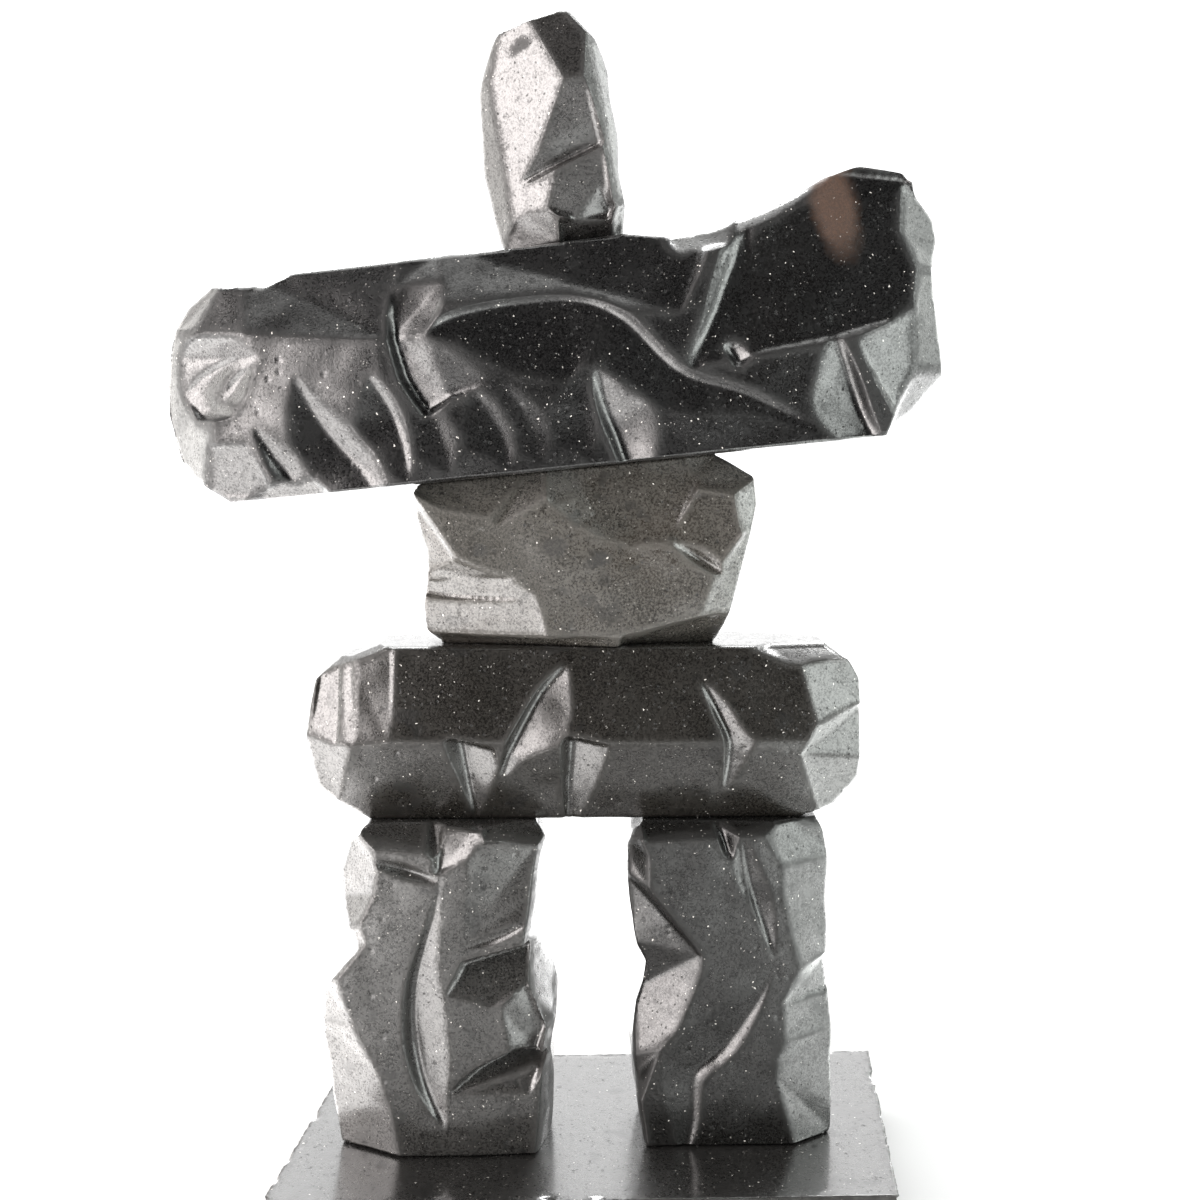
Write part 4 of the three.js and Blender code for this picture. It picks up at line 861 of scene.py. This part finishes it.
def polished_stone(name, tone, tint, gloss, shift, finish, marks=()):
    """Dark carving stone with a satin polish: mottled, specked, flecked with bright grains, and drawn lighter
    along its worn ridges as a painted highlight.

    A mark is a patch of another colour: its place, its three radii, its turn and its colour.
    """
    material = bpy.data.materials.new(name)
    material.use_nodes = True
    nodes = Nodes(material.node_tree)
    shader = material.node_tree.nodes["Principled BSDF"]
    place = nodes.add("ShaderNodeTexCoord")["Object"]
    place = nodes.add("ShaderNodeMapping", None, {"Vector": place, "Location": (shift, shift, 0)})[0]

    cloud = nodes.noise(place, CLOUDS, 4.0, 0.6).between(0.32, 0.68)
    patch = nodes.noise(place, PATCHES, 3.0, 0.55).between(0.6, 0.66)
    mottle = nodes.noise(place, MOTTLING, 4.0, 0.7).between(0.32, 0.68)
    grain = nodes.noise(place, GRAINS, 2.0, 0.7).between(0.36, 0.64)
    stain = nodes.noise(place, STAINS, 3.0, 0.55).between(0.52, 0.7)
    uneven = nodes.shaken(place, SPECK_WAVES, 1.0, SPECK_WOBBLE)
    dark_specks = nodes.specks(uneven, DARK_SPECKS, 0.34, 0.16)
    soft_specks = nodes.specks(uneven, SOFT_SPECKS, 0.34, 0.16)
    flecks = nodes.specks(uneven, FLECKS, 0.24, 0.12)
    pale_flecks = nodes.specks(uneven, PALE_FLECKS, 0.13, 0.22)
    # the weight of worn ridges, which also carries a painted highlight, and of the slab's broken sides
    worn, broken = nodes.attribute("worn_highlit_edge"), nodes.attribute("broken")

    def shade(share):
        return colour(*(c * tone * share for c in tint))

    base = nodes.mix(cloud, shade(0.6), shade(1.1))
    base = nodes.mix(stain * 0.5, base, colour(*(c * tone for c in finish.stain_tint)))
    base = nodes.mix(mottle * 0.5, base, shade(2))
    base = nodes.mix(grain * 0.65, base, shade(4))
    base = nodes.mix(patch * 0.5 + soft_specks * 0.45, base, shade(0.25))
    base = nodes.mix(dark_specks * 0.75, base, shade(0.1))
    # painted highlight: worn ridges drawn lighter, where light would catch their edges
    base = nodes.mix(worn * 0.25, base, shade(3))
    base = nodes.mix(broken * (0.35 + mottle * 0.4), base, shade(12))
    inside_marks = broken * 0
    for centre, radii, turn, tone_inside in marks:
        inside = nodes.mark(centre, radii, turn)
        inside_marks = inside_marks + inside
        base = nodes.mix(inside * (0.9 - grain * 0.35), base, colour(*tone_inside))
    base = nodes.mix(flecks * 0.35 + pale_flecks * 0.9, base, colour(*finish.fleck_colour))
    nodes.tree.links.new(base.socket, shader.inputs["Base Color"])

    rough = finish.roughness + (cloud - 0.5) * 0.08 + grain * 0.1 + dark_specks * 0.2 + patch * 0.08
    rough = rough + broken * 0.4 + inside_marks * 0.3 + worn * 0.25
    nodes.tree.links.new(rough.socket, shader.inputs["Roughness"])
    polish = 0.3 + mottle * 0.35 + grain * 0.6 - dark_specks * 0.6 - soft_specks * 0.35 - patch * 0.2
    polish = (polish - inside_marks * 1.1 - broken * 0.8 - worn * 0.5) * gloss
    nodes.tree.links.new(polish.between(0, 1).socket, shader.inputs["Coat Weight"])
    height = nodes.noise(place, 260, 3.0, 0.6) * 0.5 + grain * 0.2 - dark_specks * 0.6 - soft_specks * 0.25
    bump = nodes.add("ShaderNodeBump", None, {"Strength": 0.5, "Distance": 0.0002, "Height": height})
    nodes.tree.links.new(bump[0].socket, shader.inputs["Normal"])
    shader.inputs["IOR"].default_value = finish.ior
    shader.inputs["Coat Roughness"].default_value = finish.coat_roughness
    shader.inputs["Coat IOR"].default_value = finish.coat_ior
    return material


def surface_tree(name, sizes):
    """An empty Geometry Nodes tree with named inputs for its sizes, a seed and the stone's material.
    Returns its nodes, its inputs and a place on the surface that the seed has moved."""
    tree = bpy.data.node_groups.new(name, "GeometryNodeTree")
    tree.interface.new_socket("Geometry", in_out="INPUT", socket_type="NodeSocketGeometry")
    for label, value in {**sizes, "Seed": 0.0}.items():
        socket = tree.interface.new_socket(label, in_out="INPUT", socket_type="NodeSocketFloat")
        socket.default_value = value
    tree.interface.new_socket("Stone", in_out="INPUT", socket_type="NodeSocketMaterial")
    tree.interface.new_socket("Geometry", in_out="OUTPUT", socket_type="NodeSocketGeometry")
    nodes = Nodes(tree)
    given = nodes.add("NodeGroupInput")
    place = nodes.add("GeometryNodeInputPosition")[0]
    return nodes, given, nodes.moved(place, given["Seed"])


def crowd_of_cells(nodes, place, scale):
    """Round spots, one to a cell: a random number for each and the distance from its middle."""
    cells = nodes.add("ShaderNodeTexVoronoi", None, {"Vector": place, "Scale": scale})
    return nodes.add("ShaderNodeSeparateXYZ", None, {0: cells["Color"]})[0], cells["Distance"]


def sink_surface(nodes, given, normal, depth):
    """Ends a tree: moves the surface inwards by a depth, realises it and gives it its material."""
    offset = nodes.scaled(normal, depth * -1)
    sunk = nodes.add("GeometryNodeSetPosition", None, {"Geometry": given["Geometry"], "Offset": offset})[0]
    real = nodes.add("GeometryNodeRealizeInstances", None, {"Geometry": sunk})[0]
    done = nodes.add("GeometryNodeSetMaterial", None, {"Geometry": real, "Material": given["Stone"]})[0]
    nodes.add("NodeGroupOutput", None, {"Geometry": done})
    return nodes.tree


def rippled_surface(name, sizes):
    """A Geometry Nodes tree that sinks a fine waviness and small pits into a stone's surface."""
    nodes, given, place = surface_tree(name, {
        "Wave Size": sizes.wave_size, "Wave Depth": sizes.wave_depth,
        "Pit Size": sizes.pit_size, "Pit Depth": sizes.pit_depth,
    })
    wave_scale, pit_scale = (
        nodes.add("ShaderNodeMath", {"operation": "DIVIDE"}, {0: 1.0, 1: given[label]})[0]
        for label in ("Wave Size", "Pit Size")
    )
    wave = nodes.noise(place, wave_scale, 1.0, 0.3)
    random, distance = crowd_of_cells(nodes, place, pit_scale)
    pit = random.between(0.86, 0.9) * (1 - distance.between(0.12, 0.3))
    normal = nodes.add("GeometryNodeInputNormal")[0]
    upright = nodes.add("ShaderNodeSeparateXYZ", None, {0: normal})["Z"]
    on_seat = (upright * upright).between(0.8, 0.95)
    depth = (wave * given["Wave Depth"] + pit * given["Pit Depth"]) * (1 - on_seat)
    return sink_surface(nodes, given, normal, depth)


def broken_edges(name, roughness, chips):
    """A Geometry Nodes tree that breaks a slab's sides, chips its rims and keeps its top nearly flat."""
    nodes, given, place = surface_tree(name, {"Roughness": roughness, "Chips": chips})
    broken, rim = (
        nodes.add("GeometryNodeInputNamedAttribute", {"data_type": "FLOAT"}, {"Name": weight})[0]
        for weight in ("broken", "rim")
    )
    coarse = nodes.noise(place, 70, 3.0, 0.55).between(0.25, 0.75)
    fine = nodes.noise(place, 420, 4.0, 0.65).between(0.25, 0.75)
    random, distance = crowd_of_cells(nodes, place, 150)
    chip = random.between(0.5, 0.9) * (1 - distance.between(0.2, 0.6)) * rim
    rough = (coarse * 0.6 + fine * 0.4) * broken * given["Roughness"]
    depth = rough + (chip + fine * rim * 0.3) * given["Chips"]
    normal = nodes.add("GeometryNodeInputNormal")[0]
    return sink_surface(nodes, given, normal, depth)


def apply_tree(piece, tree, **inputs):
    """Runs a Geometry Nodes tree on a piece and keeps its result as a plain mesh."""
    modifier = piece.modifiers.new(tree.name, "NODES")
    modifier.node_group = tree
    for item in tree.interface.items_tree:
        if item.in_out == "INPUT" and item.name in inputs:
            modifier[item.identifier] = inputs[item.name]
    bpy.context.view_layer.update()
    graph = bpy.context.evaluated_depsgraph_get()
    mesh = bpy.data.meshes.new_from_object(piece.evaluated_get(graph))
    piece.modifiers.clear()
    old = piece.data
    piece.data = mesh
    bpy.data.meshes.remove(old)
    mesh.name = piece.name


def add_piece(mesh, node, material, tree):
    """Turns a mesh into the finished piece that stands for its CAD node."""
    piece = bpy.data.objects.new("carved_" + node, mesh)
    bpy.context.scene.collection.objects.link(piece)
    mesh.materials.append(material)
    apply_tree(piece, tree, Stone=material, Seed=float(len(bpy.data.objects)))
    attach(piece, "root")
    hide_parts(node)


def vector_size(name, description, default):
    return bpy.props.FloatVectorProperty(
        name=name, description=description, default=default, size=len(default), subtype="XYZ",
        unit="LENGTH", precision=4,
    )


def length(name, description, default):
    return bpy.props.FloatProperty(
        name=name, description=description, default=default, unit="LENGTH", precision=5,
    )


def plain_number(name, description, default):
    return bpy.props.FloatProperty(name=name, description=description, default=default)


def tint_of(name, description, default):
    return bpy.props.FloatVectorProperty(
        name=name, description=description, default=default, subtype="COLOR", max=2,
    )


class StoneSizes(bpy.types.PropertyGroup):
    """Length, thickness and height of each stone, where it stands, and how its surface is worn."""

    slab: vector_size("Slab", "Length, width and thickness of the slab", (0.1645, 0.091, 0.018))
    slab_lean: length("Slab lean", "How far the slab's back edge is shifted to the right", 0.011)
    left_leg: vector_size("Left leg", "Length, thickness and height", (0.066, 0.042, 0.09))
    right_leg: vector_size("Right leg", "Length, thickness and height", (0.059, 0.04, 0.09))
    hip: vector_size("Hip stone", "Length, thickness and height", (0.153, 0.042, 0.048))
    torso: vector_size("Torso stone", "Length, thickness and height", (0.093, 0.036, 0.0506))
    arms: vector_size("Arm stone", "Length, thickness and height", (0.206, 0.042, 0.06))
    head: vector_size("Head stone", "Length, thickness and height", (0.04, 0.032, 0.058))
    left_leg_place: vector_size("Left leg place", "Where it stands on the slab", (-0.0434, -0.001))
    right_leg_place: vector_size("Right leg place", "Where it stands on the slab", (0.0368, 0.0015))
    hip_place: vector_size("Hip stone place", "Where it lies on the legs", (-0.0033, 0.001))
    torso_place: vector_size("Torso place", "Where it stands on the hip stone", (-0.0029, 0.002))
    arms_shift: length("Arm shift", "How far the arms slide along their sloping seat", -0.0002)
    arms_y: length("Arm depth place", "Where the arms' middle lies from front to back", 0.001)
    head_y: length("Head depth place", "Where the head's middle lies from front to back", 0.001)
    softness: length("Ridge softness", "How far the ridges between facets are worn", 0.00042)
    arm_softness: length("Arm ridge softness", "How far the ridges of the arms are worn", 0.0006)
    rounding: length("Edge rounding", "Radius where the front and back meet the sides", 0.0006)
    wave_size: length("Wave size", "Width of the soft waves left by polishing", 0.014)
    wave_depth: length("Wave depth", "Depth of the soft waves left by polishing", 0.0011)
    pit_size: length("Pit spacing", "Width of the cells that may hold a pit", 0.003)
    pit_depth: length("Pit depth", "Depth of a pit", 0.00012)
    side_roughness: length("Side roughness", "How deep the slab's broken sides are torn", 0.0016)
    chip_depth: length("Chip depth", "Depth of the chips along the slab's rim", 0.0011)


class StoneFinish(bpy.types.PropertyGroup):
    """Colours and polish of the stone."""

    roughness: plain_number("Roughness", "Roughness of the stone", 0.25)
    ior: plain_number("Refraction", "How strongly the stone reflects", 1.5)
    coat_roughness: plain_number("Polish roughness", "Roughness of the polish", 0.22)
    coat_ior: plain_number("Polish refraction", "How strongly the polish reflects", 1.65)
    slab_roughness: plain_number("Slab polish", "Roughness of the slab's top", 0.16)
    slab_ior: plain_number("Slab refraction", "How strongly the slab's top reflects", 1.8)
    fleck_colour: tint_of("Flecks", "Colour of the bright grains", (0.55, 0.53, 0.5))
    stain_tint: tint_of("Stains", "Tint of the brown clouds", (1.15, 0.86, 0.6))


def stack_poses(sizes):
    """Where each stone stands, from the slab upwards."""
    floor = sizes.slab[2] + SEAT_GAP
    on_legs = floor + sizes.left_leg[2] + SEAT_GAP
    poses = {
        "left_leg": Matrix.Translation((*sizes.left_leg_place, floor)),
        "right_leg": Matrix.Translation((*sizes.right_leg_place, floor)),
        "hip_stone": Matrix.Translation((*sizes.hip_place, on_legs)),
        "torso_stone": Matrix.Translation((*sizes.torso_place, on_legs + sizes.hip[2] + SEAT_GAP)),
    }
    arm_seat = seat(sizes.torso, ARM_SEAT_PERCENT, sizes.arms_shift, sizes.arms_y - sizes.torso_place[1])
    head_seat = seat(sizes.arms, HEAD_SEAT_PERCENT, 0, sizes.head_y - sizes.arms_y)
    poses["arm_stone"] = poses["torso_stone"] @ arm_seat
    poses["head_stone"] = poses["arm_stone"] @ head_seat
    return poses


class INUKSHUK_OT_slab(bpy.types.Operator):
    """Makes the slab, with its honed top and broken sides"""

    bl_idname = "inukshuk.slab"
    bl_label = "Slab"

    def execute(self, context):
        sizes, finish = context.scene.inukshuk_sizes, context.scene.inukshuk_finish
        tint = (1, 0.96, 0.92)
        material = polished_stone("slab_finish", tone=0.006, tint=tint, gloss=1.6, shift=3.1, finish=finish)
        shader = material.node_tree.nodes["Principled BSDF"]
        shader.inputs["Coat Roughness"].default_value = finish.slab_roughness
        shader.inputs["Coat IOR"].default_value = finish.slab_ior
        mesh = slab_block(tuple(sizes.slab), sizes.slab_lean, cell=1.0 * MM)
        tree = broken_edges("broken_edges", sizes.side_roughness, sizes.chip_depth)
        add_piece(mesh, "base_slab", material, tree)
        return {"FINISHED"}


def add_stone(context, node, carve, size, tone, tint, gloss, cell, marks=()):
    """Carves one stone, gives it its own tone and marks, and sets it in its place in the stack."""
    sizes, finish = context.scene.inukshuk_sizes, context.scene.inukshuk_finish
    stone = carve(tuple(size), cell)
    pose = stack_poses(sizes)[node]
    spots = []
    for place, radii, turn, tone_inside in marks:
        x, z = stone.spot(place)
        spots.append((pose @ Vector((x, -stone.thickness / 2, z)), radii, turn, tone_inside))
    shift = 0.37 * len(bpy.data.materials)
    material = polished_stone(node + "_finish", tone, tint, gloss, shift, finish, spots)
    softness = sizes.arm_softness if node == "arm_stone" else sizes.softness
    mesh = stone.mesh(node, softness, sizes.rounding)
    mesh.transform(pose)
    add_piece(mesh, node, material, rippled_surface("ripples_" + node, sizes))
    return {"FINISHED"}


class INUKSHUK_OT_legs(bpy.types.Operator):
    """Carves the two legs and stands them on the slab"""

    bl_idname = "inukshuk.legs"
    bl_label = "Legs"

    def execute(self, context):
        sizes = context.scene.inukshuk_sizes
        add_stone(
            context, "left_leg", carve_left_leg, sizes.left_leg,
            tone=0.01, tint=(1, 0.96, 0.9), gloss=1, cell=0.42 * MM,
        )
        return add_stone(
            context, "right_leg", carve_right_leg, sizes.right_leg,
            tone=0.0025, tint=(1, 0.96, 0.88), gloss=0.55, cell=0.42 * MM,
        )


class INUKSHUK_OT_hip(bpy.types.Operator):
    """Carves the long stone that lies across the legs"""

    bl_idname = "inukshuk.hip"
    bl_label = "Hip stone"

    def execute(self, context):
        sizes = context.scene.inukshuk_sizes
        return add_stone(
            context, "hip_stone", carve_hip, sizes.hip,
            tone=0.005, tint=(1, 0.9, 0.76), gloss=0.9, cell=0.42 * MM,
        )


class INUKSHUK_OT_torso(bpy.types.Operator):
    """Carves the block that stands on the hip stone"""

    bl_idname = "inukshuk.torso"
    bl_label = "Torso stone"

    def execute(self, context):
        sizes = context.scene.inukshuk_sizes
        dark = (0.012, 0.011, 0.01)
        marks = [
            ((40.5, 53), (0.0038, 0.012, 0.0034), 8, dark),
            ((53, 46), (0.0044, 0.012, 0.002), -6, dark),
            ((20, 51.5), (0.0026, 0.012, 0.0016), 20, dark),
        ]
        return add_stone(
            context, "torso_stone", carve_torso, sizes.torso,
            tone=0.021, tint=(1, 0.93, 0.82), gloss=1, cell=0.38 * MM, marks=marks,
        )


class INUKSHUK_OT_arms(bpy.types.Operator):
    """Carves the long tilted stone of the outstretched arms"""

    bl_idname = "inukshuk.arms"
    bl_label = "Arm stone"

    def execute(self, context):
        sizes = context.scene.inukshuk_sizes
        brown = (0.06, 0.031, 0.019)
        return add_stone(
            context, "arm_stone", carve_arms, sizes.arms,
            tone=0.0015, tint=(1, 0.95, 0.95), gloss=0.85, cell=0.46 * MM,
            marks=[((87.4, 104), (0.0075, 0.03, 0.018), -12, brown)],
        )


class INUKSHUK_OT_head(bpy.types.Operator):
    """Carves the upright stone on top"""

    bl_idname = "inukshuk.head"
    bl_label = "Head stone"

    def execute(self, context):
        sizes = context.scene.inukshuk_sizes
        grey = (0.005, 0.0045, 0.0045)
        return add_stone(
            context, "head_stone", carve_head, sizes.head,
            tone=0.008, tint=(1, 0.94, 0.9), gloss=1, cell=0.32 * MM,
            marks=[((37.5, 87), (0.0044, 0.02, 0.0024), -28, grey)],
        )


class INUKSHUK_OT_stage(bpy.types.Operator):
    """Sets up the pale floor, the soft lights and the camera"""

    bl_idname = "inukshuk.stage"
    bl_label = "Stage"

    def execute(self, context):
        scene = context.scene
        pale_sweep()

        world = bpy.data.worlds.new("studio")
        scene.world = world
        world.use_nodes = True
        sky = world.node_tree.nodes["Background"]
        sky.inputs["Color"].default_value = (0.9, 0.93, 1, 1)
        sky.inputs["Strength"].default_value = 0.03
        scene.view_settings.view_transform = "Standard"

        for side, first, last, power, tone in (
            ("left", 36, 88, 24, (1, 0.94, 0.92)),
            ("left_back", 88, 145, 7, (1, 0.97, 0.93)),
            ("right", 42, 92, 12, (0.95, 1, 0.965)),
            ("right_back", 92, 145, 4.5, (0.96, 1, 0.96)),
        ):
            turn = math.radians((first + last) / 2)
            width = 2 * WINDOW_DISTANCE * math.tan(math.radians((last - first) / 2))
            out = -1 if side.startswith("left") else 1
            x, y = out * WINDOW_DISTANCE * math.sin(turn), -WINDOW_DISTANCE * math.cos(turn)
            middle = (0, 0, WINDOW_MIDDLE)
            soft_light("window_" + side, (x, y, WINDOW_MIDDLE), middle, (width, WINDOW_HEIGHT), power, tone)
        soft_light("overhead", (0, 0.25, 1.5), (0, 0.1, 0), (1.4, 1.2), 13, (1, 1, 0.98))
        soft_light("low_back", (0, 0.55, 0.003), (0, 0.55, 1), (1.8, 0.9), 14, (1, 1, 1))
        for side, x, power, tone in (
            ("left", -0.4, 5.6, (1, 0.97, 0.95)),
            ("right", 0.4, 3.8, (0.96, 1, 0.97)),
        ):
            soft_light("low_" + side, (x, -0.22, 0.004), (x, -0.22, 1), (0.61, 0.64), power, tone)

        camera_data = bpy.data.cameras.new("camera")
        camera_data.lens = LENS
        camera_data.sensor_width = SENSOR_WIDTH
        camera_data.clip_start = 0.01
        camera = bpy.data.objects.new("camera", camera_data)
        scene.collection.objects.link(camera)
        camera.location = CAMERA_PLACE
        pitch = math.atan(HORIZON_RISE / (PHOTO_WIDTH * LENS / SENSOR_WIDTH))
        camera.rotation_euler = (math.pi / 2 - pitch, 0, -CAMERA_HEADING)
        scene.camera = camera
        return {"FINISHED"}


def pale_sweep():
    """A pale floor that curves up behind the sculpture into a bright backdrop."""
    half_width, front, bend, radius, top = 4.0, -1.6, 1.6, 1.2, 3.5
    profile = [(front, 0.0), (bend, 0.0)]
    for step in range(1, 13):
        turn = math.radians(90 * step / 12)
        profile.append((bend + radius * math.sin(turn), radius * (1 - math.cos(turn))))
    profile.append((bend + radius, top))
    points = [(side * half_width, y, z) for y, z in profile for side in (-1, 1)]
    faces = [(2 * i, 2 * i + 1, 2 * i + 3, 2 * i + 2) for i in range(len(profile) - 1)]
    mesh = bpy.data.meshes.new("floor")
    mesh.from_pydata(points, [], faces)
    mesh.shade_smooth()
    mesh.materials.append(glowing_material("floor", (0.3, 0.3, 0.3), 0.85))
    floor = bpy.data.objects.new("floor", mesh)
    bpy.context.scene.collection.objects.link(floor)
    soft_light("backdrop_light", (0, 1.6, 2.2), (0, 2.6, 0.4), (3.0, 1.2), 270, (1, 1, 1))
    return floor


def glowing_material(name, tone, strength):
    """A matt material that also gives off some light."""
    material = bpy.data.materials.new(name)
    material.use_nodes = True
    shader = material.node_tree.nodes["Principled BSDF"]
    shader.inputs["Base Color"].default_value = colour(*tone)
    shader.inputs["Roughness"].default_value = 1
    shader.inputs["Emission Color"].default_value = colour(*tone)
    shader.inputs["Emission Strength"].default_value = strength
    return material


def soft_light(name, place, target, size, power, tone):
    """A rectangular soft light that faces the target."""
    data = bpy.data.lights.new(name, "AREA")
    data.shape = "RECTANGLE"
    data.size, data.size_y = size
    data.energy = power
    data.color = tone
    light = bpy.data.objects.new(name, data)
    light.visible_camera = False
    light.location = place
    light.rotation_euler = (Vector(place) - Vector(target)).to_track_quat("Z", "Y").to_euler()
    bpy.context.scene.collection.objects.link(light)


PIECES = (
    INUKSHUK_OT_slab, INUKSHUK_OT_legs, INUKSHUK_OT_hip, INUKSHUK_OT_torso, INUKSHUK_OT_arms,
    INUKSHUK_OT_head, INUKSHUK_OT_stage,
)


class INUKSHUK_PT_panel(bpy.types.Panel):
    """Lists the pieces, in the order in which they are made"""

    bl_idname = "INUKSHUK_PT_panel"
    bl_label = "Inukshuk"
    bl_space_type = "VIEW_3D"
    bl_region_type = "UI"
    bl_category = "Inukshuk"

    def draw(self, context):
        for piece in PIECES:
            self.layout.operator(piece.bl_idname)


CLASSES = (StoneSizes, StoneFinish, *PIECES, INUKSHUK_PT_panel)


def register():
    for item in CLASSES:
        bpy.utils.register_class(item)
    bpy.types.Scene.inukshuk_sizes = bpy.props.PointerProperty(type=StoneSizes)
    bpy.types.Scene.inukshuk_finish = bpy.props.PointerProperty(type=StoneFinish)


def unregister():
    del bpy.types.Scene.inukshuk_finish
    del bpy.types.Scene.inukshuk_sizes
    for item in reversed(CLASSES):
        bpy.utils.unregister_class(item)


def main():
    register()
    for piece in PIECES:
        group, name = piece.bl_idname.split(".")
        getattr(getattr(bpy.ops, group), name)()


if __name__ == "__main__":
    main()
